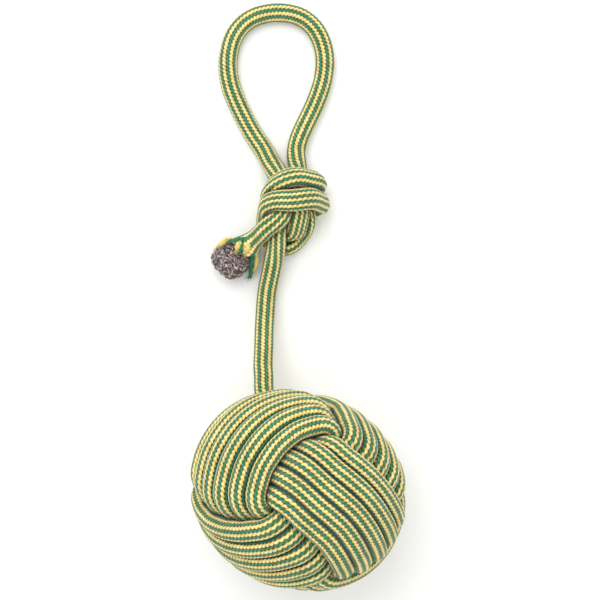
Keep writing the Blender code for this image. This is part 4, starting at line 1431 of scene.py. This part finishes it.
@dataclass(frozen=True)
class ShoddyFibre(LooseFibre):
    """Recycled textile waste of the core: matt grey-brown fibres, some bleached pale, some dark."""

    name: str = "shoddy_fibre"
    stops: tuple = ((0.0, "#3A2E2F"), (1.0, "#F0E2DC"), (0.3, "#6E5F60"), (0.55, "#9A8B88"), (0.8, "#BFAFAA"))
    fluff: float = 1400.0
    fluff_roughness: float = 0.7
    contrast: float = 0.5
    roughness: tuple[float, float] = (0.85, 1.0)
    sheen: float = 0.3
    specular: float = 0.2


@dataclass(frozen=True)
class PlyCotton(LooseFibre):
    """Soft two-ply cotton yarn in one dye: matt, with fluff that blurs its plies."""

    fluff: float = 1100.0
    fluff_roughness: float = 0.65
    contrast: float = 0.9
    roughness: tuple[float, float] = (0.8, 0.95)
    sheen: float = 0.25
    specular: float = 0.25


@dataclass(frozen=True)
class MouldedRubber:
    """Moulded black rubber: dull, with a fine grain and pale bloom."""

    def material(self) -> bpy.types.Material:
        """Make the material.

        Returns:
            The material.
        """
        material, shader = new_material("moulded_rubber")
        tree = material.node_tree
        place = add_node(tree, "ShaderNodeTexCoord").outputs["Object"]
        bloom = add_node(tree, "ShaderNodeTexNoise", inputs={"Vector": place, "Scale": 90.0, "Detail": 4.0})
        grain = add_node(tree, "ShaderNodeTexNoise", inputs={"Vector": place, "Scale": 1800.0})
        colour = fill_ramp(add_node(tree, "ShaderNodeValToRGB", inputs={0: bloom.outputs[0]}),
                           ((0.0, "#2A2A28"), (1.0, "#474642")))
        rough = add_node(tree, "ShaderNodeMapRange", inputs={
            "Value": bloom.outputs[0], "To Min": 0.55, "To Max": 0.8})
        bump = add_node(tree, "ShaderNodeBump", inputs={
            "Strength": 0.4, "Distance": 0.1 * MM, "Height": grain.outputs[0]})
        feed(tree, shader, {"Base Color": colour, "Roughness": rough.outputs[0], "Normal": bump.outputs[0]})
        return material


@dataclass(frozen=True)
class MattBoard:
    """White matt board of the studio floor: even and without gloss."""

    def material(self) -> bpy.types.Material:
        """Make the material.

        Returns:
            The material.
        """
        material, shader = new_material("matt_board")
        feed(material.node_tree, shader, {"Base Color": paint("#FAFAFA"), "Roughness": 0.95,
                                          "Specular IOR Level": 0.0})
        return material


# Sub-assemblies

@dataclass
class MonkeyFist:
    """The fist: three crossing sets of turns, wound over the core ball."""

    maker: CoverMaker
    finish: bpy.types.Material
    core_finish: bpy.types.Material
    first_half_width: float = 5.25 * MM
    next_half_width: float = 5.6 * MM
    first_squeeze: float = 1.03      # a set's wales that show are this wide, against even ones
    next_squeeze: float = 0.96
    half_height: float = 4.75 * MM
    crown_wale: float = 1.0       # a yellow one, so that green ones meet where the turns touch
    sway: float = 0.12

    def build(self) -> None:
        """Lay the cover of each set of turns and dress the core ball."""
        layout, knit = self.maker.layout, self.maker.knit
        first = (self.first_half_width, self.first_squeeze)
        following = (self.next_half_width, self.next_squeeze)
        sets = (("first_turns", "fist_start", "second_start", *first),
                ("second_turns", "second_start", "third_start", *following),
                ("third_turns", "third_start", "end", *following))
        for node, start_mark, end_mark, half_width, squeeze in sets:
            start, end = layout.marks[start_mark], layout.marks[end_mark]
            rope = PressedRope(layout, start, end, True, half_width, self.half_height)
            piece = self.maker.lay(node + "_cover", rope, start, end, knit.fist_stitch, knit.outer_columns(),
                                   crown_squeeze=squeeze, first_wale=self.crown_wale, sway=self.sway)
            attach(piece, "fist")
            dress(piece, self.finish, Slot.COVER, node)
        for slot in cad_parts["core_ball"].material_slots:
            slot.material = self.core_finish


@dataclass(frozen=True)
class LooseYarn:
    """A yarn of the cut cover that has come loose: its dye, its thickness and where it lies."""

    dye: Dye
    radius: float
    route: tuple


@dataclass
class CutTail:
    """The cut end of the rope: its core fibres spread to a tuft, and loose yarns of its cover."""

    layout: RopeLayout
    straight: float = 9 * MM
    shank: float = 2.9 * MM
    neck: float = 1.0 * MM
    length: float = 16.5 * MM
    half_width: float = 9.7 * MM
    wrap: float = math.radians(150)     # how far round its middle the tuft's outline goes
    fullness: float = 0.62              # power that rounds that outline, 1 for a ball
    lump: float = 0.11                  # height of the tuft's lumps, as a share of its radius
    lump_scale: float = 260.0
    fibres: int = 1300
    # least and greatest reach, rise, curl and thickness of a fibre, in millimetres
    fibre_sizes: tuple = ((1.3, 0.5, 0.2, 0.2), (3.2, 1.5, 0.8, 0.42))
    ply_lay: float = 4.2 * MM           # length in which a yarn's plies go once round each other
    ply_offset: float = 0.42            # from the yarn's middle, as a share of its radius
    ply_radius: float = 0.64
    stray_fibres: int = 22              # at a yarn's end
    stray_radius: float = 0.16 * MM
    yarns: tuple = (
        LooseYarn(Dye.YELLOW, 0.95 * MM,
                  ((-34.4, 80.1, 9), (-39.8, 78.7, 11), (-43.2, 76.0, 11.5), (-44.8, 71.7, 10))),
        LooseYarn(Dye.YELLOW, 1.45 * MM,
                  ((-33.7, 80.5, 14), (-36.9, 80.4, 15.5), (-39.8, 78.9, 15.5), (-42.2, 76.7, 13.5))),
        LooseYarn(Dye.GREEN, 1.25 * MM,
                  ((-27.2, 81.4, 17), (-30.0, 80.7, 19), (-33.0, 80.1, 19.3), (-35.8, 79.9, 18))),
        LooseYarn(Dye.YELLOW, 1.45 * MM, ((-30.1, 79.5, 18.5), (-31.3, 77.6, 20.3), (-32.1, 74.5, 20))),
        LooseYarn(Dye.GREEN, 1.0 * MM, ((-28.7, 78.7, 18.5), (-29.6, 76.5, 20.3), (-30.1, 73.3, 20))),
        LooseYarn(Dye.YELLOW, 1.75 * MM, ((-25.0, 78.7, 17.5), (-26.3, 76.3, 19.5), (-27.7, 72.9, 19.4))),
        LooseYarn(Dye.GREEN, 1.35 * MM, ((-22.9, 76.4, 14.5), (-23.4, 74.2, 16), (-24.2, 71.4, 15.5))),
        LooseYarn(Dye.YELLOW, 1.0 * MM,
                  ((-22.2, 74.0, 13), (-21.5, 70.8, 12), (-21.6, 67.6, 10), (-22.9, 64.6, 8))),
        LooseYarn(Dye.GREEN, 1.5 * MM,
                  ((-23.5, 71.9, 13), (-24.4, 68.2, 9.5), (-24.6, 65.0, 6), (-24.9, 62.1, 3.6),
                   (-25.8, 60.5, 2.6))))

    def __post_init__(self) -> None:
        """Work out the directions at the mouth."""
        self.axis = unit(np.array(self.layout.tail_axis))
        self.mouth = self.layout.points[0]
        self.up = unit(np.array([0.0, 0.0, 1.0]) - self.axis * self.axis[2])
        self.side = np.cross(-self.axis, self.up)
        self.shift = np.array([self.layout.centre[0], self.layout.centre[1], 0.0])
        self.chance = np.random.default_rng(11)

    def tuft_radius(self, past: Points) -> Points:
        """Shape the tuft.

        Args:
            past: Distances past the mouth.

        Returns:
            Its radius there.
        """
        share = np.clip((past - self.neck) / (self.length - self.neck), 0.0, 1.0)
        turn = np.arccos(1 - share * (1 - math.cos(self.wrap)))
        return np.maximum(self.shank, self.half_width * np.sin(turn) ** self.fullness)

    def head(self) -> Points:
        """Shape the core: its straight part in the cover and the lumpy tuft.

        Returns:
            Its rings.
        """
        tuft = self.neck + np.linspace(0.0, 1.0, 26) ** 1.3 * (self.length - self.neck)
        past = np.concatenate([np.linspace(-self.straight, 0.0, 5), tuft])
        radii = np.append(self.tuft_radius(past), 0.3 * MM)
        past = np.append(past, past[-1])
        line = self.mouth + past[:, None] * self.axis + 1e-6 * np.arange(len(past))[:, None] * self.axis
        rings = tube_rings(line, radii, 44)
        middle = self.mouth + past[:, None, None] * self.axis
        lumps = np.array([noise.noise(Vector(point) * self.lump_scale) for point in rings.reshape(-1, 3)])
        lumps = lumps.reshape(rings.shape[:2]) * ease(past / self.neck)[:, None]
        return middle + (rings - middle) * (1 + self.lump * lumps[:, :, None])

    def build_tuft(self) -> bpy.types.Object:
        """Make the tuft: a lumpy head, dark as painted shade between the fibres, that short curled fibres
        cover.

        Returns:
            The piece.
        """
        bundle = TubeBundle("fibre_tuft")
        # the head's dark shade is painted shade in the gaps between the curls
        bundle.add(self.head(), 0.12)
        past = np.linspace(self.neck * 0.6, self.length, 400)
        radius = self.tuft_radius(past)
        slope = np.gradient(radius, past)
        weight = np.cumsum(radius * np.sqrt(1 + slope**2))
        shares = self.chance.random(self.fibres)
        places = np.interp(shares * weight[-1], weight, past)
        for at in places:
            turn = self.chance.random() * TAU
            around = math.cos(turn) * self.up + math.sin(turn) * self.side
            lean = float(np.interp(at, past, slope))
            normal = unit(around - lean * self.axis)
            spot = self.mouth + at * self.axis + around * float(np.interp(at, past, radius))
            heading = self.chance.normal(size=3)
            heading = unit(heading - normal * (heading @ normal))
            beside = np.cross(normal, heading)
            reach, rise, curl, thick = self.chance.uniform(*self.fibre_sizes) * MM
            s = np.linspace(0.0, 1.0, 7)[:, None]
            line = (spot + normal * (rise * np.sin(2.6 * s) - 0.5 * MM) + heading * reach * (s - 0.5)
                    + beside * curl * np.sin(TAU * s + turn))
            radii = thick * (1 - 0.55 * s[:, 0] ** 3)
            bundle.add(tube_rings(line, radii, 4, turn), float(self.chance.beta(0.9, 1.1)))
        return bundle.build()

    def build_yarn(self, number: int, yarn: LooseYarn) -> bpy.types.Object:
        """Make a loose yarn: two plies laid round each other, with single fibres at its end.

        Args:
            number: Its number.
            yarn: The yarn.

        Returns:
            The piece.
        """
        line = evenly(smooth_curve(self.layout.placed(yarn.route) + self.shift, 0.2 * MM), 0.45 * MM)
        share = np.linspace(0.0, 1.0, len(line))
        tangent = unit(np.gradient(line, axis=0))
        beside = unit(np.cross(tangent, (0.0, 0.0, 1.0)))
        above = np.cross(beside, tangent)
        bundle = TubeBundle(f"loose_yarn_{number}")
        swell = yarn.radius * (0.85 + 0.25 * np.sin(np.pi * share**1.3)) * np.sqrt(1 - 0.75 * share**6)
        for ply in (0.0, math.pi):
            lay = ply + TAU * arc_length(line) / self.ply_lay
            offset = self.ply_offset * swell[:, None] * directions(lay[:, None], beside, above)[:, 0]
            bundle.add(tube_rings(line + offset, self.ply_radius * swell, 8), 0.42 + 0.04 * ply)
        for _ in range(self.stray_fibres):
            heading = tangent[-1] + self.chance.normal(size=3) * 0.45
            start = line[-1] - tangent[-1] * 0.6 * MM + self.chance.normal(size=3) * 0.3 * yarn.radius
            s = np.linspace(0.0, 1.0, 5)[:, None]
            bend = self.chance.normal(size=3) * 0.4 * MM
            fibre = start + s * heading * self.chance.uniform(0.9, 2.0) * MM + bend * s**2
            bundle.add(tube_rings(fibre, self.stray_radius * (1 - 0.5 * s[:, 0]), 3),
                       float(self.chance.uniform(0.3, 0.9)))
        return bundle.build()

    def build(self) -> list[bpy.types.Object]:
        """Make the tuft and the yarns.

        Returns:
            The pieces, which are all on the end of the rope.
        """
        tuft = self.build_tuft()
        dress(tuft, ShoddyFibre().material(), Slot.FIBRE, "tail_core")
        pieces = [tuft]
        finishes = {dye: PlyCotton(f"ply_cotton_{dye.name.lower()}", dye.stops(0.0, 0.45)).material()
                    for dye in Dye}
        slots = {Dye.YELLOW: Slot.YELLOW_YARN, Dye.GREEN: Slot.GREEN_YARN}
        for number, yarn in enumerate(self.yarns, start=1):
            piece = self.build_yarn(number, yarn)
            dress(piece, finishes[yarn.dye], slots[yarn.dye], f"frayed_yarn_{number}")
            pieces.append(piece)
        for piece in pieces:
            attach(piece, "handle")
        return pieces


@dataclass
class StemAndHandle:
    """The free rope: the stem in three lengths that meet between its bends, and the rest in one."""

    maker: CoverMaker
    finish: bpy.types.Material
    half_width: float = 5.25 * MM
    bend_reach: float = 10.3 * MM
    overlap: float = 4 * MM       # how far into the fist the rope is pressed past where it is drawn
    # how far the cover is turned, in wales, at distances along the rope from its cut end
    turns: tuple = ((0.0, 0.69), (0.1, 0.5), (0.12, 0.5), (0.18, 1.3), (0.25, 1.3), (0.34, 0.5))

    def build(self) -> None:
        """Lay the cover of the free rope and make its cut end."""
        layout, knit = self.maker.layout, self.maker.knit
        marks = layout.marks
        rope = PressedRope(layout, 0.0, marks["fist_start"] + self.overlap, False, self.half_width,
                           self.half_width)
        upper = (marks["bend_knot"] + marks["bend_lift"]) / 2
        lower = (marks["bend_lift"] + marks["bend_fist"]) / 2
        tail = CutTail(layout)
        tail_pieces = tail.build()
        spans = (("handle_rope", 0.0, upper, "bend_knot", "handle", "upper_stem",
                  ("knot_tail_strand", "knot_stem_strand", "hand_loop", "tail_cover")),
                 ("upper_stem_rope", upper, lower, "bend_lift", "upper_stem", "lower_stem",
                  ("stem_upper", "stem_lower")),
                 ("lower_stem_rope", lower, marks["fist_start"], "bend_fist", "lower_stem", "fist",
                  ("stem_root",)))
        for name, start, end, bend, near_body, far_body, nodes in spans:
            cut = name == "handle_rope"
            piece = self.maker.lay(name, rope, start, end, knit.stitch, knit.all_columns(), turns=self.turns,
                                   mouth=FrayedMouth(tail.axis, tail.side) if cut else None)
            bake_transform(piece)
            dress(piece, self.finish, Slot.COVER, *nodes)


@dataclass
class Studio:
    """Floor, lights and the camera that looks straight down."""

    layout: RopeLayout
    camera_height: float = 0.95
    floor_view: float = 0.3276              # how much of the floor the frame shows
    sensor: float = 36.0
    aside: tuple = (0.8 * MM, 97.9 * MM)    # of the frame's middle from the fist's
    floor_half: float = 3.0
    floor_drop: float = 0.05 * MM
    surround: float = 1.02
    soft_box: float = 1.0
    soft_box_power: float = 8.0
    soft_box_place: tuple = (-0.3, 0.72, 1.12)
    soft_box_aim: tuple = (0.0, 0.09, 0.03)

    def build(self) -> None:
        """Make the studio."""
        self.add_camera()
        self.add_floor()
        self.add_lights()

    def add_camera(self) -> None:
        """Add the camera over the middle of the photograph's frame."""
        data = bpy.data.cameras.new("overhead")
        data.sensor_width = self.sensor
        data.lens = self.sensor * self.camera_height / self.floor_view
        camera = new_object(data)
        camera.location = (*(self.layout.centre[:2] + self.aside), self.camera_height)
        bpy.context.scene.camera = camera

    def add_floor(self) -> None:
        """Add the floor just under the piece."""
        mesh = bpy.data.meshes.new("floor")
        corners = ((-1, -1), (1, -1), (1, 1), (-1, 1))
        points = [(self.floor_half * x, self.floor_half * y, 0) for x, y in corners]
        mesh.from_pydata(points, [], [(0, 1, 2, 3)])
        mesh.materials.append(MattBoard().material())
        floor = new_object(mesh)
        floor.location.z = -self.floor_drop

    def add_lights(self) -> None:
        """Add a broad soft light from the upper left and an even white surround."""
        world = bpy.data.worlds.new("surround")
        world.use_nodes = True
        feed(world.node_tree, world.node_tree.nodes["Background"],
             {"Color": (1.0, 1.0, 1.0, 1.0), "Strength": self.surround})
        bpy.context.scene.world = world
        light = bpy.data.lights.new("soft_box", "AREA")
        light.shape = "RECTANGLE"
        light.size = light.size_y = self.soft_box
        light.energy = self.soft_box_power
        box = new_object(light)
        box.location = self.soft_box_place
        aim = Vector(self.soft_box_aim) - box.location
        box.rotation_euler = aim.to_track_quat("-Z", "Y").to_euler()
        bpy.context.scene.view_settings.view_transform = "Standard"


def main() -> None:
    """Build the piece over its frame."""
    logging.basicConfig(level=logging.INFO, format="%(message)s")
    layout = RopeLayout()
    layout.place()
    LOG.info("marks, mm: %s", {name: round(at / MM, 1) for name, at in layout.marks.items()})
    Studio(layout).build()
    maker = CoverMaker(layout)
    cotton = KnittedCotton(maker.knit).material()
    StemAndHandle(maker, cotton).build()
    MonkeyFist(maker, cotton, MouldedRubber().material()).build()


if __name__ == "__main__":
    main()
